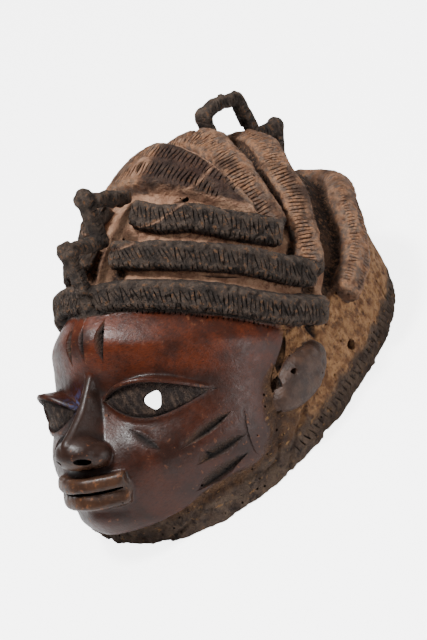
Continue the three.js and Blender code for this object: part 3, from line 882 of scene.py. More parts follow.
def on_ears(points, above):
    """1 on the ears' lobes."""
    front, z = -points[:, 1] - EAR["front"], points[:, 2] - EAR["z"]
    lengthwise = (front * np.cos(EAR["tilt"]) - z * np.sin(EAR["tilt"])) / EAR["half_length"]
    upwards = (front * np.sin(EAR["tilt"]) + z * np.cos(EAR["tilt"])) / EAR["half_height"]
    return (1 - smoothstep(np.hypot(lengthwise, upwards), 1.0, 1.15)) * (above > 1)


def in_hollows(points, above, gap):
    """1 in the hollow for the head and in the one behind the face."""
    offset = (points - FACE_HOLLOW["centre"]) / FACE_HOLLOW["radii"]
    on_ball = np.abs(np.linalg.norm(offset, axis=1) - 1) < 0.02
    return np.maximum(smoothstep(-above, 3.5, 5), on_ball * (gap < -7.5))


def in_recess(points, name, across):
    """Where the ground lies low: between the returns and in the channel by the crest."""
    channel = np.abs(np.abs(points[:, 0]) - CHANNEL["aside"]) < CHANNEL["half_width"]
    channel = channel & (points[:, 1] < CHANNEL["y"]) & (points[:, 2] > CHANNEL["z"])
    between = (name == "second_return") | (name == "rear_roll")
    return between | ((name == "third_return") & (across > 0)) | channel


# %% [markdown]
# Put together, the zones share out the skin: what is neither hair nor hollow nor polished is
# ground, and the hairline and the rear roll part the ground of the hair from the neck.

# %% All zones together
BESIDE_BRAID = 1.8
BRAID_FOOT = (-7, -4)
HAIR_LOWEST = 62
NOSE_REACH = 24
NOSE_LOWEST = -48
BLUE_SPOT = dict(x=-15, v=-7, spread=60)


def zones(points):
    """A share from 0 to 1 for each zone at each point, and the measures that gave it."""
    kind, across, out = beside_braids(points)
    above = above_head(points)
    x, v, n = in_face(points)
    gap = n - face_height(x, v)
    braid = smoothstep(braid_half_width[kind] + BESIDE_BRAID - np.abs(across), 0, 1)
    braid = braid * smoothstep(out, *BRAID_FOOT) * smoothstep(above, 0.8, 2.2)
    crest, lobe = on_crest(points), on_crown_lobe(points, above)
    hair = np.maximum(np.maximum(braid, crest), lobe)
    inside = in_hollows(points, above, gap)
    name = np.array(braid_names)[kind]
    below = ((name == "hairline") & (across > 0)) | ((name == "rear_roll") & (across < 0))
    below = below | (points[:, 2] < HAIR_LOWEST)
    polished = smoothstep(above, 0.7, 1.8) * (gap > -3) * (1 - hair) * (1 - inside) * below
    ground = (1 - hair) * (1 - inside) * (1 - polished)
    stands_out = smoothstep(gap, 0.8, 2.5) * polished
    from_blue = (x - BLUE_SPOT["x"]) ** 2 + (v - BLUE_SPOT["v"]) ** 2
    return dict(
        braid=braid, crest=crest, lobe=lobe, inside=inside, polished=polished,
        ledge=ground * ~below, neck=ground * below, kind=kind, above=above, gap=gap,
        recess=ground * (in_recess(points, name, across) & ~below),
        eye=in_eyes(points) * polished, ear=on_ears(points, above) * (1 - inside),
        forehead=polished * smoothstep(v, 2, 16), lips=stands_out * (v < NOSE_LOWEST),
        nose=stands_out * (v > NOSE_LOWEST) * (np.abs(x) < NOSE_REACH),
        blue=polished * np.exp(-from_blue / BLUE_SPOT["spread"]),
    )


# %% [markdown]
# A knife leaves facets and years leave pits. Both are raised on the dense skin with value
# noise, read from a small block of random numbers. Modelling them point by point would copy
# one mask; noise of a few sizes gives the same kind of surface anywhere.

# %% Noise
SEED = 41
LATTICE = 24
lattice = np.random.default_rng(SEED).uniform(-1, 1, (LATTICE,) * 3).astype(np.float32)


def lumps(points, cell, shift=0.0):
    """Smooth noise from -1 to 1 with lumps of one size."""
    place = points / cell + shift + 1000
    low = np.floor(place).astype(int)
    part = place - low
    part = part * part * (3 - 2 * part)
    value = np.zeros(len(points))
    for corner in np.ndindex(2, 2, 2):
        index = (low + corner) % LATTICE
        weight = np.prod(np.where(np.array(corner) == 1, part, 1 - part), axis=1)
        value += weight * lattice[index[:, 0], index[:, 1], index[:, 2]]
    return value


def read_normals(piece):
    flat = np.empty(len(piece.data.vertices) * 3, np.float32)
    piece.data.vertex_normals.foreach_get("vector", flat)
    return flat.reshape(-1, 3).astype(float)


def smoothed(values, ends, rounds):
    """Values averaged with their neighbours' along the edges, a few times over."""
    count = len(values)
    near = np.bincount(ends.ravel(), minlength=count)[:, None]
    for _ in range(rounds):
        total = np.stack([
            np.bincount(ends[:, 0], values[ends[:, 1], k], count)
            + np.bincount(ends[:, 1], values[ends[:, 0], k], count)
            for k in range(values.shape[1])
        ], axis=1)
        values = 0.5 * values + 0.5 * total / np.maximum(near, 1)
    return values


def read_edges(piece):
    flat = np.empty(len(piece.data.edges) * 2, np.int32)
    piece.data.edges.foreach_get("vertices", flat)
    return flat.reshape(-1, 2)


# %% [markdown]
# Each zone has its own mixture of noises: fibres and pits on the neck, scrapes on the face.
# The same step sinks the ground between the braids and cuts the crease where the jaw meets
# the neck.

# %% Relief
RECESS_SUNK = 3.5
CREASE_SUNK = 1.5
CREASE_HIGHEST = 75
RIM_EDGE = 14
roughness = dict(
    crest=dict(coarse=0.5, middle=0.4, fine=0.3),
    braid=dict(coarse=0.4, middle=0.45, fine=0.55, pits=1.1),
    lobe=dict(middle=0.3, fine=0.3, pits=0.3),
    ledge=dict(coarse=0.4, middle=0.3, fine=0.12),
    neck=dict(coarse=0.5, middle=0.45, fibres=0.4, pits=0.6),
    rim_edge=dict(chips=0.9),
    polished=dict(broad=0.25, middle=0.1, scrapes=0.1),
    eye=dict(fibres=0.6, fine=0.35, pits=0.5),
    lips=dict(middle=0.2, fine=0.15),
)


def noises(points):
    """Noise of several sizes and directions, in millimetres to be multiplied."""
    return dict(
        broad=lumps(points, 17, 2.2), coarse=lumps(points, 11), middle=lumps(points, 5.2, 3.1),
        fine=lumps(points, 2.7, 7.7), chips=lumps(points, 8, 12.3),
        fibres=lumps(points * [1, 1, 0.3], 2.9, 5.3),
        scrapes=lumps(points * [0.3, 0.5, 1], 3.2, 8.8),
        pits=-smoothstep(lumps(points, 3.4, 9.2), 0.38, 0.75),
    )


def raise_relief(piece):
    points = read_points(piece)
    zone, noise = zones(points), noises(points)
    zone["rim_edge"] = zone["neck"] * (points[:, 2] < RIM_EDGE)
    raised = np.zeros(len(points))
    for name, amounts in roughness.items():
        raised += zone[name] * sum(amount * noise[kind] for kind, amount in amounts.items())
    crease = np.maximum(np.abs(zone["above"]), np.abs(zone["gap"]))
    crease = (1 - smoothstep(crease, 0.3, 3.0)) * (points[:, 2] < CREASE_HIGHEST)
    raised -= CREASE_SUNK * crease * (1 - zone["braid"])
    sunk = smoothed(zone["recess"][:, None], read_edges(piece), 6)[:, 0]
    raised -= RECESS_SUNK * sunk * (1 + 0.3 * noise["middle"])
    write_points(piece, points + raised[:, None] * read_normals(piece))
    print("relief in mm:", round(float(raised.min()), 1), "to", round(float(raised.max()), 1))


def skin_tree(piece):
    """A search tree over a piece's faces."""
    dense = bmesh.new()
    dense.from_mesh(piece.data)
    tree = BVHTree.FromBMesh(dense)
    dense.free()
    return tree


raise_relief(mask)
uncut = skin_tree(mask)

# %% [markdown]
# The hollow for the head, the hollow behind the face, the eye sockets, drilled pupils,
# nostrils and ear and tie holes are cut with exact booleans, which keep their edges crisp.

# %% Cutters
WALL = 15
RIM_WALL = 10
HOLLOW_START = -20
DIMPLE_DEPTH = 0.7
OUT_OF_ROUND = 0.12


def hollow_form():
    """The hollow. Its wall is dimpled by the adze."""
    rows, columns = 70, 180
    def place(turn, row):
        step = np.rint(row * rows)
        rim = on_head(turn * 360, np.zeros_like(row))
        flat_out = out_of_head(rim) * [1, 1, 0]
        inner_rim = rim - RIM_WALL * unit(flat_out)
        start = rim * 0.9
        start[..., 2] = HOLLOW_START
        rise = np.clip((step - 2) / (rows - 2), 0, 1) * 90
        wall = on_head(turn * 360, rise)
        dimples = lumps(wall.reshape(-1, 3), 15, 4.4).reshape(wall.shape[:2])
        wall = wall - (WALL + DIMPLE_DEPTH * dimples)[..., None] * out_of_head(wall)
        top = np.array([0, -CROWN_FRONT, HEAD_HEIGHT - WALL])
        point = np.where((step == 2)[..., None], inner_rim, wall)
        point = np.where((step == 1)[..., None], start, point)
        point = np.where((step == 0)[..., None], [0, 0, HOLLOW_START], point)
        return np.where((step == rows)[..., None], top, point)
    return skin(columns, rows, place)


def drill(centre, way, radius, length, sides=20):
    """A drill turned by hand, so its hole is a little three-cornered."""
    way = unit(np.array(way, float))
    side = unit(np.cross(way, [0, 0.1, 1]))
    other = np.cross(way, side)
    def place(turn, row):
        step = np.rint(row * 3)
        angle = turn * 2 * np.pi
        ring = np.where((step == 0) | (step == 3), 0, radius)
        middle = centre + np.where(step < 2, -length / 2, length / 2)[..., None] * way
        ring = ring * (1 + OUT_OF_ROUND * np.cos(3 * angle + 1.2))
        around = np.cos(angle)[..., None] * side + np.sin(angle)[..., None] * other
        return middle + ring[..., None] * around
    return skin(sides, 3, place)


SIDEWAYS = (1, 0, 0)
pupil = drill(above_face(43, -9.5, 0), (0.58, -0.62, 0.53), radius=6.2, length=90)
nostril = face_ball((10, -48, 30.5), radii=(5.6, 2.4, 8), columns=20, rows=12)
ear_hole = drill(np.array([100, -43, 55.5]), SIDEWAYS, radius=2.3, length=24)
tie_hole = drill(np.array([98, 19, 27]), SIDEWAYS, radius=4, length=50)
print("wall:", WALL, "mm, at the rim:", RIM_WALL, "mm")

# %% [markdown]
# Lens-shaped cuts mark the forehead and the cheeks, and a valley divides each ear from the
# cheek. Each is a spindle sunk along a line. Cracks are the same spindle, hair thin.

# %% Lens cuts and cracks
lens_cuts = [
    dict(start=(59, -44), end=(81, -19), half_width=3.8, depth=6.5),
    dict(start=(64, -55), end=(86, -35), half_width=4.2, depth=6.5),
    dict(start=(57, -73), end=(85, -48), half_width=3.6, depth=6.5),
    dict(start=(29, -28), end=(50, -43), half_width=4, depth=2.6),
    dict(start=(14, 47), end=(14, 16), half_width=3.6, depth=6),
]
middle_cut = dict(start=(0, 43), end=(0, 17), half_width=2.6, depth=3)
cheek_crack = dict(start=(84, -15), end=(87, -55), half_width=0.45, depth=3)
ear_cuts = [
    dict(start=(20, 77), end=(56, 57), half_width=4.6, depth=6),
    dict(start=(44, 70), end=(69, 35), half_width=3.6, depth=6),
    dict(start=(2, 75), end=(5, 50), half_width=4.6, depth=4),
]
head_cracks = [
    dict(start=(76, 73.5), end=(97, 66), half_width=0.9, depth=4),
    dict(start=(60, 50.5), end=(75, 41.5), half_width=0.45, depth=2.5),
    dict(start=(118, 12), end=(121, 1), half_width=0.5, depth=4),
]


def spindle(start, end, half_width, depth, ground, rows=18):
    """A spindle along a line on a surface. ground gives points at (across, up, out)."""
    start, end = np.array(start, float), np.array(end, float)
    way = unit(end - start)
    def place(turn, row):
        swell = np.sin(row * np.pi)
        angle = turn * 2 * np.pi
        side = swell * half_width * np.cos(angle)
        x = start[0] + (end[0] - start[0]) * row - side * way[1]
        v = start[1] + (end[1] - start[1]) * row + side * way[0]
        return ground(x, v, swell * depth * np.sin(angle))
    return skin(4, rows, place)


def above_side(front, z, proud):
    return np.stack([head_side(front, z) + proud, -front, z], axis=-1)


def above_ground(bearing, rise, proud):
    point = on_head(bearing, rise)
    return point + proud[..., None] * out_of_head(point)


small_cuts = both_sides(nostril) + both_sides(ear_hole) + both_sides(tie_hole)
for cut in lens_cuts:
    small_cuts += both_sides(spindle(**cut, ground=above_face))
small_cuts.append(spindle(**middle_cut, ground=above_face))
small_cuts.append(spindle(**cheek_crack, ground=above_face))
for crack in head_cracks:
    small_cuts.append(spindle(**crack, ground=above_ground))
cutters = [
    [hollow_form()], [ball(**FACE_HOLLOW, columns=72, rows=44)],
    both_eyes(eye_hollow), both_eyes(pupil), small_cuts, [mouth_slot],
    [form for cut in ear_cuts for form in both_sides(spindle(**cut, ground=above_side))],
]
for i, cutter in enumerate(cutters):
    take_away(mask, mesh_object(f"cutter_{i}", cutter))
print("after the large cuts:", triangles(mask), "triangles")

# %% [markdown]
# Node trees are built by the script itself. One helper adds a node with its settings and its
# inputs, another makes a tree with named sockets, so that each step below stays short.

# %% Building node trees
wood = bpy.data.materials.new("carved_wood")


def add_node(tree, kind, inputs=None, **settings):
    """A node with its settings made and its inputs linked or filled, by index or name."""
    made = tree.nodes.new(kind)
    for name, value in settings.items():
        setattr(made, name, value)
    for key, value in (inputs or {}).items():
        socket = made.inputs[key]
        if isinstance(value, bpy.types.NodeSocket):
            tree.links.new(value, socket)
        else:
            socket.default_value = value
    return made


def new_tree(name, kind, inputs, outputs):
    """An empty tree with named sockets. It gives the tree and its two end nodes."""
    tree = bpy.data.node_groups.new(name, kind)
    for way, sockets in (("INPUT", inputs), ("OUTPUT", outputs)):
        for socket_name, (socket_kind, default) in sockets.items():
            socket = tree.interface.new_socket(socket_name, in_out=way, socket_type=socket_kind)
            if default is not None:
                socket.default_value = default
    return tree, tree.nodes.new("NodeGroupInput"), tree.nodes.new("NodeGroupOutput")


def number(default):
    return "NodeSocketFloat", default


def random_near(tree, middle, spread, seed):
    """A random number within a spread on each side of a middle."""
    low = add_node(tree, "ShaderNodeMath", {0: middle, 1: spread}, operation="SUBTRACT")
    high = add_node(tree, "ShaderNodeMath", {0: middle, 1: spread}, operation="ADD")
    inputs = {2: low.outputs[0], 3: high.outputs[0], 8: seed}
    return add_node(tree, "FunctionNodeRandomValue", inputs, data_type="FLOAT").outputs[1]


def run_tree(piece, tree, **values):
    """Evaluates a tree on a piece and gives the result as a plain form."""
    modifier = piece.modifiers.new(tree.name, "NODES")
    modifier.node_group = tree
    for item in tree.interface.items_tree:
        if item.in_out == "INPUT" and item.name in values:
            modifier[item.identifier] = values[item.name]
    bpy.context.view_layer.update()
    evaluated = piece.evaluated_get(bpy.context.evaluated_depsgraph_get())
    mesh = bpy.data.meshes.new_from_object(evaluated)
    piece.modifiers.remove(modifier)
    points = np.array([vertex.co for vertex in mesh.vertices], float).reshape(-1, 3)
    faces = [tuple(polygon.vertices) for polygon in mesh.polygons]
    bpy.data.meshes.remove(mesh)
    return points, faces


# %% [markdown]
# Every braid is hatched with short chisel cuts, hundreds of them, all alike and all a little
# different. Geometry Nodes lay one four-sided blade across a line again and again: the lines
# run along the braids and carry the way out of the wood and the way across the braid.

# %% A tree that lays blades along lines
def named_way(tree, name):
    return add_node(
        tree, "GeometryNodeInputNamedAttribute", {0: name}, data_type="FLOAT_VECTOR").outputs[0]


def blade_turn(tree, slant, wander, seed):
    """Lays a blade's length across the braid and its depth into the wood, a little slanted."""
    facing = add_node(
        tree, "FunctionNodeAxesToRotation",
        {0: named_way(tree, "across"), 1: named_way(tree, "out")},
        primary_axis="Z", secondary_axis="X")
    turn = random_near(tree, slant, wander, seed)
    euler = add_node(tree, "ShaderNodeCombineXYZ", {0: turn})
    by = add_node(tree, "FunctionNodeEulerToRotation", {0: euler.outputs[0]})
    return add_node(
        tree, "FunctionNodeRotateRotation", {0: facing.outputs[0], 1: by.outputs[0]},
        rotation_space="LOCAL").outputs[0]


def thin_blade(tree):
    """A four-sided rod of size one that thins out towards both ends."""
    rod = add_node(
        tree, "GeometryNodeMeshCylinder",
        {"Vertices": 4, "Side Segments": 4, "Radius": 1.0, "Depth": 1.0}, fill_type="NGON")
    here = add_node(tree, "GeometryNodeInputPosition")
    parts = add_node(tree, "ShaderNodeSeparateXYZ", {0: here.outputs[0]})
    power = add_node(tree, "ShaderNodeMath", {0: parts.outputs[2], 1: 2.0}, operation="MULTIPLY")
    power = add_node(tree, "ShaderNodeMath", {0: power.outputs[0], 1: 4.0}, operation="POWER")
    thin = add_node(
        tree, "ShaderNodeMath", {0: power.outputs[0], 1: -0.75, 2: 1.0},
        operation="MULTIPLY_ADD")
    thinned = [
        add_node(tree, "ShaderNodeMath", {0: parts.outputs[k], 1: thin.outputs[0]},
                 operation="MULTIPLY").outputs[0] for k in range(2)
    ]
    shaped = add_node(
        tree, "ShaderNodeCombineXYZ", {0: thinned[0], 1: thinned[1], 2: parts.outputs[2]})
    return add_node(
        tree, "GeometryNodeSetPosition",
        {0: rod.outputs[0], "Position": shaped.outputs[0]}).outputs[0]


def made_real(tree, instances, material, result):
    """Ends a tree: instances become a mesh with its material."""
    real = add_node(tree, "GeometryNodeRealizeInstances", {0: instances.outputs[0]})
    painted = add_node(
        tree, "GeometryNodeSetMaterial", {0: real.outputs[0], "Material": material})
    tree.links.new(painted.outputs[0], result.inputs[0])


def hatch_tree():
    tree, given, result = new_tree("hatch_cuts", "GeometryNodeTree", {
        "Lines": ("NodeSocketGeometry", None), "Pitch": number(3.0), "Length": number(13.0),
        "Width": number(0.6), "Depth": number(1.6), "Slant": number(0.4), "Wander": number(0.25),
        "Seed": ("NodeSocketInt", 1), "Wood": ("NodeSocketMaterial", None),
    }, {"Blades": ("NodeSocketGeometry", None)})
    value = {socket.name: socket for socket in given.outputs}
    curve = add_node(tree, "GeometryNodeMeshToCurve", {0: value["Lines"]})
    even = add_node(
        tree, "GeometryNodeResampleCurve", {0: curve.outputs[0], "Length": value["Pitch"]},
        mode="LENGTH")
    seeds = [
        add_node(
            tree, "ShaderNodeMath", {0: value["Seed"], 1: float(k)}, operation="ADD").outputs[0]
        for k in range(4)
    ]
    sizes = []
    for name, share, seed in (("Depth", 0.35, 1), ("Width", 0.3, 2), ("Length", 0.09, 3)):
        factor = random_near(tree, 1.0, share, seeds[seed])
        size = add_node(tree, "ShaderNodeMath", {0: value[name], 1: factor}, operation="MULTIPLY")
        sizes.append(size.outputs[0])
    scale = add_node(tree, "ShaderNodeCombineXYZ", dict(enumerate(sizes)))
    laid = add_node(tree, "GeometryNodeInstanceOnPoints", {
        "Points": even.outputs[0], "Instance": thin_blade(tree),
        "Rotation": blade_turn(tree, value["Slant"], value["Wander"], seeds[0]),
        "Scale": scale.outputs[0],
    })
    made_real(tree, laid, value["Wood"], result)
    return tree


# %% [markdown]
# The lines are read off the same bars that made the braids, at a turn of their section: a
# quarter turn is the top, none is the flank that faces forward or down. The relief has moved
# the wood a little, so each line is dropped on the true skin by casting rays at it, within a
# reach that keeps it off the forms beside it.

# %% Lines along the braids
def on_skin(line, reach):
    """Moves a line's points onto the uncut skin, along their way out."""
    spots, outs, acrosses = line
    dropped = []
    for spot, out in zip(spots, outs):
        hit = uncut.ray_cast(Vector(spot + reach * out), Vector(-out), 2 * reach)[0]
        dropped.append(spot if hit is None else np.array(hit))
    return np.array(dropped), outs, acrosses


def braid_line(name, turn, start=0.02, end=0.97, count=60):
    """Points along a braid's skin with the way out and the way across."""
    shape = braid_shape.get(name, BRAID)
    section = [np.array(bar_section(turn + step, **shape)) for step in (-0.004, 0, 0.004)]
    tangent = unit(section[2] - section[0])
    point, side, out = paths[name](np.linspace(start, end, count))
    spot = point + section[1][0] * side + section[1][1] * out
    return spot, tangent[1] * side - tangent[0] * out, tangent[0] * side + tangent[1] * out


def lobe_line(forward, start, end, count=40):
    """A line over the crown lobe from its middle out to its point, cut forward and down."""
    x = np.linspace(start, end, count)
    front = LOBE["front"] + LOBE["side_back"] * x / LOBE["half_length"] + forward
    ground = np.stack([x, -front, head_top(x, front)], axis=-1)
    out = unit(ground - LOBE_MIDDLE)
    ahead = np.array([0, -1.0, 0])
    return ground + LOBE["height"] * out, out, unit(ahead - (out @ ahead)[:, None] * out)


def rim_line(rise, start, end, count=60):
    bearings = np.linspace(start, end, count)
    spot = on_head(bearings, np.full(count, float(rise)))
    out = out_of_head(spot)
    return spot, out, np.cross(out, unit(np.gradient(spot, axis=0)))


def crest_lines():
    """Lines on both flanks of the crest's rolls."""
    lines = []
    for corners in crests:
        for start, end in zip(corners, corners[1:]):
            start, end = in_middle(start), in_middle(end)
            spot = start + np.linspace(0.08, 0.92, 12)[:, None] * (end - start)
            out = np.broadcast_to([1.0, 0, 0], spot.shape)
            across = np.broadcast_to(np.cross(out[0], unit(end - start)), spot.shape)
            lines.append((spot + CREST_RADIUS * out, out, across))
    return lines


# %% [markdown]
# Each group of cuts has its own lines, spacing, length and slant, because the carver turned
# the chisel with each part of the hair. The cuts of the two sides are drawn with different
# seeds, so the sides aren't mirror images.

# %% Hatch cuts
FRONT = ("hairline", "second", "third")
LINE_REACH = 4
BLADE_POINTS = 20
hatches = [
    dict(lines=[braid_line(name, 0.25, end=0.95) for name in FRONT],
         Pitch=3.3, Length=12.0, Width=0.6, Depth=1.35, Slant=0.35, Wander=0.3),
    dict(lines=[braid_line(name, turn, end=0.95) for name in FRONT for turn in (0.13, 0.02)],
         Pitch=3.6, Length=8.5, Width=0.6, Depth=1.3, Slant=0.2, Wander=0.4),
    dict(lines=[braid_line("third_return", 0.26, 0.04, 0.98)],
         Pitch=2.9, Length=20.0, Width=0.62, Depth=1.7, Slant=0.05, Wander=0.1),
    dict(lines=[braid_line("second_return", 0.26, 0.04, 0.98)],
         Pitch=2.9, Length=16.5, Width=0.62, Depth=1.6, Slant=0.05, Wander=0.1),
    dict(lines=[braid_line("rear_roll", turn, 0.03, 0.97) for turn in (0.14, 0.29, 0.43)],
         Pitch=2.7, Length=8.5, Width=0.5, Depth=1.3, Slant=0.15, Wander=0.2),
    dict(lines=[lobe_line(8, 1, 50), lobe_line(-7, 1, 54)], reach=14,
         Pitch=3.3, Length=17.0, Width=0.65, Depth=2.2, Slant=0.0, Wander=0.12),
    dict(lines=[rim_line(3.4, 66, 160)],
         Pitch=5.6, Length=9.0, Width=0.7, Depth=1.8, Slant=0.35, Wander=0.15),
    dict(lines=crest_lines(),
         Pitch=3.4, Length=8.0, Width=0.45, Depth=0.8, Slant=0.1, Wander=0.3),
]


def line_object(lines):
    """Lines as a mesh of edges whose points carry their two ways."""
    points = np.concatenate([line[0] for line in lines])
    edges = []
    start = 0
    for line in lines:
        count = len(line[0])
        edges += [(start + k, start + k + 1) for k in range(count - 1)]
        start += count
    mesh = bpy.data.meshes.new("lines")
    mesh.from_pydata(points, edges, [])
    for place, name in ((1, "out"), (2, "across")):
        ways = np.concatenate([line[place] for line in lines]).astype(np.float32)
        mesh.attributes.new(name, "FLOAT_VECTOR", "POINT").data.foreach_set("vector", ways.ravel())
    holder = bpy.data.objects.new("lines", mesh)
    bpy.context.scene.collection.objects.link(holder)
    return holder


hatching = hatch_tree()
cut_count = 0
for group, hatch in enumerate(hatches):
    sizes = {name: value for name, value in hatch.items() if name not in ("lines", "reach")}
    reach = hatch.get("reach", LINE_REACH)
    holder = line_object([on_skin(line, reach) for line in hatch["lines"]])
    left = run_tree(holder, hatching, Seed=SEED + 10 * group, Wood=wood, **sizes)
    right = run_tree(holder, hatching, Seed=SEED + 10 * group + 5, Wood=wood, **sizes)
    bpy.data.objects.remove(holder)
    blades = [outward(*left), mirrored(outward(*right))]
    cut_count += sum(len(form[0]) for form in blades) // BLADE_POINTS
    take_away(mask, mesh_object(f"hatch_{group}", blades))
print("hatch cuts:", cut_count, "triangles:", triangles(mask))

# %% [markdown]
# Worms have drilled the soft crust of the neck, the rim and a little of the jaw. The holes come
# in clusters, so noise says how likely one is at each point, and Geometry Nodes scatter small
# drills with that chance. They never come closer together than one set distance.

# %% Worm holes
WORM_SIDES = 7
WORM_LOWEST = 2.5
JAW_TOP = 60
WORMS = {"Apart": 4.5, "Per Area": 0.02, "Radius": 0.75, "Depth": 7.0}


def worm_tree():
    tree, given, result = new_tree("worm_holes", "GeometryNodeTree", {
        "Wood Skin": ("NodeSocketGeometry", None), "Apart": number(4.0), "Per Area": number(0.02),
        "Radius": number(0.7), "Depth": number(5.0), "Seed": ("NodeSocketInt", 1),
        "Wood": ("NodeSocketMaterial", None),
    }, {"Holes": ("NodeSocketGeometry", None)})
    value = {socket.name: socket for socket in given.outputs}
    chance = add_node(
        tree, "GeometryNodeInputNamedAttribute", {0: "wormy"}, data_type="FLOAT")
    spots = add_node(tree, "GeometryNodeDistributePointsOnFaces", {
        "Mesh": value["Wood Skin"], "Distance Min": value["Apart"],
        "Density Max": value["Per Area"], "Density Factor": chance.outputs[0],
        "Seed": value["Seed"],
    }, distribute_method="POISSON")
    drill_bit = add_node(
        tree, "GeometryNodeMeshCylinder",
        {"Vertices": WORM_SIDES, "Radius": value["Radius"], "Depth": value["Depth"]},
        fill_type="NGON")
    size = random_near(tree, 1.0, 0.4, value["Seed"])
    scale = add_node(tree, "ShaderNodeCombineXYZ", {0: size, 1: size, 2: 1.0})
    drilled = add_node(tree, "GeometryNodeInstanceOnPoints", {
        "Points": spots.outputs[0], "Instance": drill_bit.outputs[0],
        "Rotation": spots.outputs[2], "Scale": scale.outputs[0],
    })
    made_real(tree, drilled, value["Wood"], result)
    return tree


points = read_points(mask)
zone = zones(points)
clusters = smoothstep(lumps(points, 22, 6.6), 0.0, 0.6)
wormy = zone["neck"] * (0.15 + clusters) + 0.3 * zone["ledge"] * clusters
wormy = wormy + 0.12 * zone["polished"] * clusters * (points[:, 2] < JAW_TOP)
wormy = np.clip(wormy, 0, 1) * (points[:, 2] > WORM_LOWEST)
mask.data.attributes.new("wormy", "FLOAT", "POINT").data.foreach_set(
    "value", wormy.astype(np.float32))
worms = run_tree(mask, worm_tree(), Seed=SEED, Wood=wood, **WORMS)
print("worm holes:", len(worms[0]) // (2 * WORM_SIDES))
take_away(mask, mesh_object("worms", [outward(*worms)]))

# %% [markdown]
# The rim is cut off level last, as the mask rests on it. The carved skin is then far denser
# than it need be on its plain parts, so Decimate thins it and keeps the sharp cuts.

# %% Level the rim and thin the mesh
MOST_TRIANGLES = 186000
take_away(mask, mesh_object("below_rim", [block_below(0)]))
print("all cuts made:", triangles(mask), "triangles")
apply_modifier(mask, "TRIANGULATE")
apply_modifier(mask, "DECIMATE", ratio=min(1, MOST_TRIANGLES / triangles(mask)))
print("thinned to", triangles(mask), "triangles")

# %% [markdown]
# The real mask isn't quite even: its right side hangs lower. So that side is let down by a
# tenth of its distance from the middle, softly from just above the level rim. Then the mesh
# goes to the CAD solid's place, in metres. Faces that meet at a blunt angle are shaded as one.

# %% Bring it to the CAD's place
RIGHT_SIDE_DROP = 0.1
DROP_FROM = 12
DROP_FULL = 60
SHARP = np.radians(38)
carved = read_points(mask)
points = carved.copy()
drop = RIGHT_SIDE_DROP * np.minimum(points[:, 0], 0)
points[:, 2] += drop * smoothstep(points[:, 2], DROP_FROM, DROP_FULL)
points[:, 1] += CENTRE_SHIFT
write_points(mask, points * MM)
print("right side let down by up to", round(float(-drop.min()), 1), "mm")
for polygon in mask.data.polygons:
    polygon.use_smooth = True
mask.data.set_sharp_from_angle(angle=SHARP)

# %% [markdown]
# The patina of the mask follows its form: soot and grease on the raised hair, dust on the
# ledges, orange wood where an edge has lost its skin. Painted shade goes in the cuts, folds,
# hollows and sunk ground, and painted highlights on the raised parts of the hair. Each of these
# is measured once for every point and kept as a named attribute that the material reads.

# %% Measures for the patina and for painted shade and highlights
EAR_SHEEN = 0.85
RIM_BAND = (16, 20)
CUT_DEEP = (0.15, 1.3)
EDGE_KEEN = (0.05, 0.3)


def cut_depth(points):
    """How far under the uncut skin each point lies."""
    return np.array([uncut.find_nearest(Vector(point))[3] for point in points])


placed = read_points(mask)
write_points(mask, carved)
ends = read_edges(mask)
normals = read_normals(mask)
zone = zones(carved)
sharpness = ((carved - smoothed(carved, ends, 3)) * normals).sum(axis=1)
swell = ((carved - smoothed(carved, ends, 14)) * normals).sum(axis=1)
sharpness, swell = (smoothed(value[:, None], ends, 1)[:, 0] for value in (sharpness, swell))
depth = cut_depth(carved) * (1 - zone["inside"])
write_points(mask, placed)

kind = np.array(braid_names)[zone["kind"]]
returning = (kind == "second_return") | (kind == "third_return")
lobe_bare = smoothstep(-carved[:, 0], -14, -2)
tan_braid = zone["braid"] * (returning | (kind == "rear_roll"))
dark_hair = np.maximum(zone["braid"] * ~(returning | (kind == "rear_roll")), zone["crest"])
dark_hair = np.maximum(dark_hair, 0.55 * zone["lobe"] * (1 - lobe_bare))
tan_hair = np.maximum(tan_braid, zone["lobe"] * lobe_bare) * (1 - dark_hair)
cut = smoothstep(depth, *CUT_DEEP)
sheen = zone["polished"] * (1 - zone["eye"]) * (1 - cut)
# The hollow, raised, recess and cut measures place the painted shade and painted highlights.
measures = dict(
    dark_hair=dark_hair, tan_hair=tan_hair, ledge=zone["ledge"], neck=zone["neck"],
    inside=zone["inside"], eye=zone["eye"], cut=cut, edge=smoothstep(sharpness, *EDGE_KEEN),
    hollow=smoothstep(-swell, 0.2, 1.2), raised=smoothstep(swell, 0.25, 1.1),
    rim=1 - smoothstep(carved[:, 2] + 3.5 * lumps(carved, 9, 1.7), *RIM_BAND),
    recess=smoothed(zone["recess"][:, None], ends, 2)[:, 0],
    collar=smoothstep(-carved[:, 1], 30, 70),
    sheen=np.maximum(sheen * (1 - zone["ear"]), EAR_SHEEN * zone["ear"]),
    **{name: zone[name] for name in ("ear", "forehead", "nose", "lips", "blue")},
)
for name, value in measures.items():
    mask.data.attributes.new(name, "FLOAT", "POINT").data.foreach_set(
        "value", value.astype(np.float32))
print("shares:", {name: round(float(value.mean()), 3) for name, value in measures.items()})

# %% [markdown]
# One group of nodes makes patches of any size and softness. The material mixes its colours
# with them, layer on layer, and the same patches break up the shine and raise the grain.

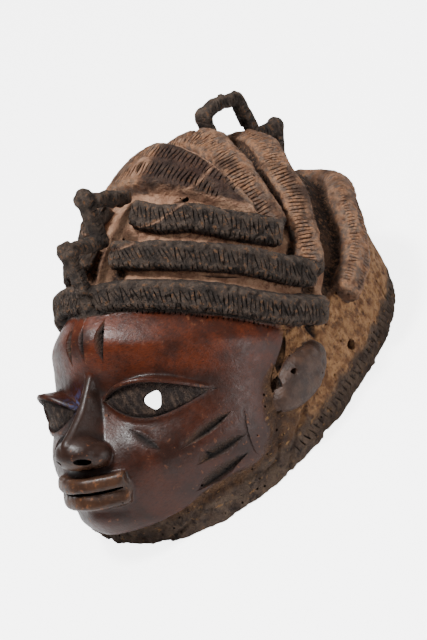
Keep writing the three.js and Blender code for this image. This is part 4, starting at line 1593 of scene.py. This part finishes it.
# %% Patches
def shader_group():
    tree, given, result = new_tree("patches", "ShaderNodeTree", {
        "Size": number(10.0), "Stretch": ("NodeSocketVector", (1, 1, 1)),
        "Detail": number(3.0), "From": number(0.4), "To": number(0.6),
    }, {"Mask": ("NodeSocketFloat", None)})
    value = {socket.name: socket for socket in given.outputs}
    place = add_node(tree, "ShaderNodeTexCoord")
    stretched = add_node(
        tree, "ShaderNodeVectorMath", {0: place.outputs["Object"], 1: value["Stretch"]},
        operation="MULTIPLY")
    scale = add_node(tree, "ShaderNodeMath", {0: 1000.0, 1: value["Size"]}, operation="DIVIDE")
    noise = add_node(tree, "ShaderNodeTexNoise", {
        "Vector": stretched.outputs[0], "Scale": scale.outputs[0], "Detail": value["Detail"],
        "Roughness": 0.6,
    })
    ranged = add_node(tree, "ShaderNodeMapRange", {
        "Value": noise.outputs[0], "From Min": value["From"], "From Max": value["To"],
    }, interpolation_type="SMOOTHSTEP")
    tree.links.new(ranged.outputs[0], result.inputs[0])
    return tree


patches = shader_group()
wood.use_nodes = True
nodes = wood.node_tree
shader = nodes.nodes["Principled BSDF"]


def patch(size, low=0.4, high=0.6, detail=3.0, stretch=(1, 1, 1)):
    """A mask of patches of about this size in millimetres."""
    inputs = {"Size": size, "Stretch": stretch, "Detail": detail, "From": low, "To": high}
    made = nodes.nodes.new("ShaderNodeGroup")
    made.node_tree = patches
    for name, value in inputs.items():
        made.inputs[name].default_value = value
    return made.outputs[0]


def measure(name):
    return add_node(nodes, "ShaderNodeAttribute", attribute_name=name).outputs["Fac"]


def times(first, second):
    return add_node(
        nodes, "ShaderNodeMath", {0: first, 1: second}, operation="MULTIPLY").outputs[0]


def opposite(value):
    return add_node(nodes, "ShaderNodeMath", {0: 1.0, 1: value}, operation="SUBTRACT").outputs[0]


def where(name, *patches_there):
    """A measure broken up by patches."""
    return times(measure(name), patch(*patches_there))


def linear(red, green, blue):
    """A colour named by its screen values, from 0 to 255."""
    screen = np.array([red, green, blue]) / 255
    plain = np.where(screen <= 0.04045, screen / 12.92, ((screen + 0.055) / 1.055) ** 2.4)
    return (*map(float, plain), 1.0)


def paint_over(under, over, share):
    """One colour laid over another by a mask. A colour is a node's or three screen values."""
    made = add_node(nodes, "ShaderNodeMix", data_type="RGBA")
    for socket, value in ((made.inputs[0], share), (made.inputs[6], under), (made.inputs[7], over)):
        if isinstance(value, bpy.types.NodeSocket):
            nodes.links.new(value, socket)
        else:
            socket.default_value = linear(*value)
    return made.outputs[2]


# %% [markdown]
# The face is dark red-brown wood under years of handling. Its grain shows as fine level
# streaks and the redder wood shines through on the forehead. The lips and all edges are rubbed,
# the folds get painted shade, and a little blue is left at one eye.

# %% Coats of the face
BROWN, RED = (42, 23, 17), (68, 33, 21)
BROW_BROWN, BROW_RED = (56, 27, 18), (90, 40, 21)
# The third colour on the next line is painted shade for the face's folds.
GRAIN, NOSE_GREY, FOLD_SHADE, BLUE = (36, 21, 16), (44, 32, 27), (34, 25, 22), (58, 62, 96)
LIP_BROWN, LIP_LIGHT, LIP_RUBBED = (48, 32, 24), (70, 46, 32), (104, 70, 44)
FACE_RUBBED = (104, 62, 38)

brow = paint_over(BROW_BROWN, BROW_RED, patch(22, 0.35, 0.65, 3))
lips = paint_over(LIP_BROWN, LIP_LIGHT, patch(9, 0.3, 0.7, 4))
lips = paint_over(lips, LIP_RUBBED, where("edge", 4, 0.55, 0.7))
face = paint_over(BROWN, RED, patch(26, 0.3, 0.7, 3))
face = paint_over(face, brow, measure("forehead"))
face = paint_over(face, GRAIN, patch(2.4, 0.42, 0.8, 4, (1, 1, 5)))
face = paint_over(face, NOSE_GREY, times(measure("nose"), 0.8))
face = paint_over(face, lips, measure("lips"))
face = paint_over(face, FACE_RUBBED, where("edge", 4, 0.6, 0.7))
# Painted shade in the folds and hollows of the face.
face = paint_over(face, FOLD_SHADE, where("hollow", 12, 0.2, 0.6))
face = paint_over(face, BLUE, where("blue", 2.5, 0.45, 0.6))

# %% [markdown]
# The neck is pale crusted wood. It is darker under the jaw, where the collar lies in shadow
# and grime, and has a dark, flecked band along the rim.

# %% Coats of the neck
CRUST_BROWN, CRUST_PALE, CRUST_PITS = (110, 74, 47), (172, 128, 88), (80, 56, 42)
COLLAR_BROWN, COLLAR_LIGHT, COLLAR_FLECKS = (62, 44, 33), (92, 66, 46), (150, 112, 72)
RIM_BROWN, RIM_LIGHT = (70, 55, 46), (96, 78, 64)
RIM_FLECKS, RIM_SPOTS = (132, 98, 66), (46, 36, 31)
UPRIGHT = (0.4, 0.4, 1)

neck = paint_over(CRUST_BROWN, CRUST_PALE, patch(7, 0.34, 0.62, 9))
neck = paint_over(neck, CRUST_PITS, patch(3.6, 0.48, 0.7, 9))
collar = paint_over(COLLAR_BROWN, COLLAR_LIGHT, patch(8, 0.35, 0.65, 8))
collar = paint_over(collar, COLLAR_FLECKS, patch(3.4, 0.6, 0.66, 6, UPRIGHT))
neck = paint_over(neck, collar, measure("collar"))
band = paint_over(RIM_BROWN, RIM_LIGHT, patch(9, 0.35, 0.65, 6))
band = paint_over(band, RIM_FLECKS, patch(3.2, 0.6, 0.66, 6, UPRIGHT))
band = paint_over(band, RIM_SPOTS, patch(5, 0.5, 0.7, 6))
neck = paint_over(neck, band, measure("rim"))
colour = paint_over(face, neck, measure("neck"))

# %% [markdown]
# Dust lies on the bare ground between the braids, with painted shade where it is sunk. The
# braids in front and the crest are sooty; those behind have lost their soot. Raised parts of
# both get a painted highlight, and hollows of the sooty hair get painted shade.

# %% Coats of the hair
DUST, DUST_PALE, DUST_PITS = (146, 108, 85), (184, 144, 116), (108, 76, 58)
# Painted shade for the sunk ground, dark with lighter specks.
RECESS_SHADE_DARK, RECESS_SHADE_LIGHT = (44, 32, 26), (118, 86, 62)
# The last colour on the next line is a painted highlight for raised parts of the sooty hair.
SOOT, SOOT_WORN, SOOT_HIGHLIGHT = (42, 35, 31), (74, 61, 52), (92, 78, 68)
# The last colour on the next line is painted shade for the hollows of the sooty hair.
SOOT_RUBBED, SOOT_SHADE = (108, 76, 52), (26, 22, 21)
# The last colour on the next line is a painted highlight for raised parts of the bare hair.
BARE_GREY, BARE_BROWN, BARE_HIGHLIGHT = (106, 90, 80), (130, 92, 68), (148, 120, 98)
BARE_RUBBED, BARE_STAINS = (166, 120, 88), (74, 54, 43)

ledge = paint_over(DUST, DUST_PALE, patch(8, 0.35, 0.65, 8))
ledge = paint_over(ledge, DUST_PITS, patch(3.4, 0.5, 0.7, 8, (0.5, 0.5, 1)))
# Painted shade where the ground is sunk between the returns and in the crest's channel.
recess_shade = paint_over(RECESS_SHADE_DARK, RECESS_SHADE_LIGHT, patch(2.4, 0.48, 0.66, 6))
ledge = paint_over(ledge, recess_shade, measure("recess"))
colour = paint_over(colour, ledge, measure("ledge"))
soot = paint_over(SOOT, SOOT_WORN, patch(7, 0.35, 0.7, 10))
# Painted highlight: raised parts of the sooty hair are greyer.
soot = paint_over(soot, SOOT_HIGHLIGHT, where("raised", 6, 0.35, 0.65, 6))
soot = paint_over(soot, SOOT_RUBBED, where("edge", 3, 0.54, 0.64, 5))
# Painted shade in the hollows of the sooty hair.
soot = paint_over(soot, SOOT_SHADE, where("hollow", 6, 0.2, 0.6))
colour = paint_over(colour, soot, measure("dark_hair"))
bare = paint_over(BARE_GREY, BARE_BROWN, patch(7, 0.4, 0.62, 8))
# Painted highlight: raised parts of the bare hair are paler.
bare = paint_over(bare, BARE_HIGHLIGHT, where("raised", 6, 0.35, 0.65, 6))
bare = paint_over(bare, BARE_RUBBED, where("edge", 3, 0.4, 0.62, 5))
bare = paint_over(bare, BARE_STAINS, patch(18, 0.45, 0.7, 4))
colour = paint_over(colour, bare, measure("tan_hair"))

# %% [markdown]
# The last coats are the ears, with painted shade in their hollows, the scraped balls of the
# eyes, the painted shade of every cut and the plain wood of the hollow. The cuts' mask leaves
# the eyes out, as their balls lie deep too.

# %% Coats of ears, eyes, cuts and hollow
# The last colour on the next line is painted shade for the ears' hollows.
EAR_BROWN, EAR_LIGHT, EAR_FOLD_SHADE = (50, 35, 28), (76, 55, 44), (36, 27, 23)
BALL_DARK, BALL_SCRAPED = (40, 30, 26), (92, 74, 62)
# The first two colours on the next line are painted shade for the cuts, the second in the bare
# hair.
CUT_SHADE, CUT_SHADE_BROWN, PLAIN_WOOD = (27, 22, 20), (70, 46, 34), (92, 66, 47)

ear = paint_over(EAR_BROWN, EAR_LIGHT, patch(9, 0.35, 0.65, 4))
# Painted shade in the ears' hollows.
ear = paint_over(ear, EAR_FOLD_SHADE, measure("hollow"))
colour = paint_over(colour, ear, measure("ear"))
eyeball = paint_over(BALL_DARK, BALL_SCRAPED, patch(3.4, 0.42, 0.72, 8, (1, 1, 0.4)))
colour = paint_over(colour, eyeball, measure("eye"))
# Painted shade in every cut, browner in the bare hair.
cut_shade = paint_over(CUT_SHADE, CUT_SHADE_BROWN, measure("tan_hair"))
colour = paint_over(colour, cut_shade, times(measure("cut"), opposite(measure("eye"))))
colour = paint_over(colour, PLAIN_WOOD, measure("inside"))
nodes.links.new(colour, shader.inputs["Base Color"])
print("nodes in the wood's material:", len(nodes.nodes))

# %% [markdown]
# Handling has polished the face until it shines. The crusted parts scatter light. Fine grain
# is raised where the wood is rough.

# %% Shine and grain
CRUSTED = 0.78
POLISHED = 0.3
dull = add_node(nodes, "ShaderNodeMapRange", {
    "Value": measure("sheen"),
    "From Min": 0.0, "From Max": 1.0, "To Min": CRUSTED, "To Max": POLISHED,
})
scuffed = add_node(nodes, "ShaderNodeMath", {
    0: patch(4, 0.35, 0.7, 5), 1: 0.16, 2: dull.outputs[0],
}, operation="MULTIPLY_ADD")
nodes.links.new(scuffed.outputs[0], shader.inputs["Roughness"])
grain = add_node(nodes, "ShaderNodeMath", {
    0: patch(4.5, 0.3, 0.7, 8), 1: 1.6, 2: patch(1.6, 0.3, 0.7, 4)}, operation="MULTIPLY_ADD")
grain = times(grain.outputs[0], opposite(times(measure("sheen"), 0.94)))
bump = add_node(nodes, "ShaderNodeBump", {"Height": grain, "Strength": 0.9, "Distance": 0.0009})
nodes.links.new(bump.outputs[0], shader.inputs["Normal"])
shader.inputs["Specular IOR Level"].default_value = 0.32
mask.data.materials.clear()
mask.data.materials.append(wood)
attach(mask, "root")
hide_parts("gelede_mask")

# %% [markdown]
# The studio is a pale floor that fades to white. The floor glows, but mainly as the camera sees
# it: if it lit the mask as strongly, it would wash out the dark wood from below.

# %% Floor
FLOOR_HALF = 6
FLOOR_LIGHTS = 0.12
FLOOR_SEEN = 4.5
floor_mesh = bpy.data.meshes.new("floor")
floor_mesh.from_pydata(
    [(FLOOR_HALF * x, FLOOR_HALF * y, 0) for x, y in ((-1, -1), (1, -1), (1, 1), (-1, 1))],
    [], [(0, 1, 2, 3)])
floor = bpy.data.objects.new("floor", floor_mesh)
bpy.context.scene.collection.objects.link(floor)
paint = bpy.data.materials.new("pale_floor")
paint.use_nodes = True
floor_shader = paint.node_tree.nodes["Principled BSDF"]
floor_shader.inputs["Base Color"].default_value = (0.9, 0.9, 0.9, 1)
floor_shader.inputs["Roughness"].default_value = 0.9
floor_shader.inputs["Emission Color"].default_value = (1, 1, 1, 1)
glow = add_node(paint.node_tree, "ShaderNodeMapRange", {
    "Value": paint.node_tree.nodes.new("ShaderNodeLightPath").outputs["Is Camera Ray"],
    "From Min": 0.0, "From Max": 1.0, "To Min": FLOOR_LIGHTS, "To Max": FLOOR_SEEN,
})
paint.node_tree.links.new(glow.outputs[0], floor_shader.inputs["Emission Strength"])
floor_mesh.materials.append(paint)

# %% [markdown]
# The camera looks down on the mask as in the photograph. Its three angles, distance and scale
# were found by laying the mask's outline over the photograph's. RIM_PIXEL is the pixel where
# the middle of the rim falls, counted from the top left.

# %% Camera
AZIMUTH, ELEVATION, ROLL = np.radians([46, 30, 29.5])
DISTANCE = 1.9
SCALE = 0.00072
IMAGE = (427, 640)
RIM_PIXEL = (241, 396)
SENSOR = 36
FARTHEST = 50
back_way = np.array([
    np.sin(AZIMUTH) * np.cos(ELEVATION), -np.cos(AZIMUTH) * np.cos(ELEVATION), np.sin(ELEVATION),
])
level_right = np.array([np.cos(AZIMUTH), np.sin(AZIMUTH), 0])
level_up = np.cross(back_way, level_right)
right = np.cos(ROLL) * level_right - np.sin(ROLL) * level_up
up = np.sin(ROLL) * level_right + np.cos(ROLL) * level_up
rim_middle = np.array([0, CENTRE_SHIFT * MM, 0])
place = rim_middle + DISTANCE * back_way
beside_rim = (IMAGE[0] / 2 - RIM_PIXEL[0]) * right + (RIM_PIXEL[1] - IMAGE[1] / 2) * up
look = unit(place - (rim_middle + SCALE * beside_rim))
cam_right = unit(np.cross(up, look))
cam_up = np.cross(look, cam_right)
camera_data = bpy.data.cameras.new("camera")
camera_data.sensor_width = SENSOR
camera_data.lens = SENSOR * DISTANCE / (SCALE * IMAGE[1])
camera_data.clip_end = FARTHEST
camera = bpy.data.objects.new("camera", camera_data)
matrix = Matrix.Identity(4)
for k, column in enumerate((cam_right, cam_up, look)):
    for j in range(3):
        matrix[j][k] = column[j]
matrix.translation = Vector(place)
camera.matrix_world = matrix
bpy.context.scene.collection.objects.link(camera)
bpy.context.scene.camera = camera
print("lens in mm:", round(camera_data.lens, 1))

# %% [markdown]
# A wide soft light hangs overhead, a smaller key light stands at the left of the camera and
# a weak fill at its right. The key gives the shine on the brow, nose and lips.

# %% Light
WORLD_GLOW = 0.12
MASK_MIDDLE = (0, 0, 0.08)
world = bpy.data.worlds.new("studio")
world.use_nodes = True
world.node_tree.nodes["Background"].inputs["Color"].default_value = (1, 1, 1, 1)
world.node_tree.nodes["Background"].inputs["Strength"].default_value = WORLD_GLOW
bpy.context.scene.world = world


def softbox(name, position, target, size, power):
    data = bpy.data.lights.new(name, "AREA")
    data.shape = "SQUARE"
    data.size = size
    data.energy = power
    lamp = bpy.data.objects.new(name, data)
    lamp.location = position
    lamp.rotation_euler = (Vector(target) - Vector(position)).to_track_quat("-Z", "Y").to_euler()
    bpy.context.scene.collection.objects.link(lamp)


key_place = 1.2 * back_way - 1.1 * cam_right + 1.2 * cam_up
fill_place = 1.2 * back_way + 1.6 * cam_right + 0.3 * cam_up
softbox("overhead", (0, 0, 2.6), (0, 0, 0), size=4.0, power=46)
softbox("key", tuple(key_place), MASK_MIDDLE, size=0.4, power=54)
softbox("fill", tuple(fill_place), MASK_MIDDLE, size=0.6, power=12)
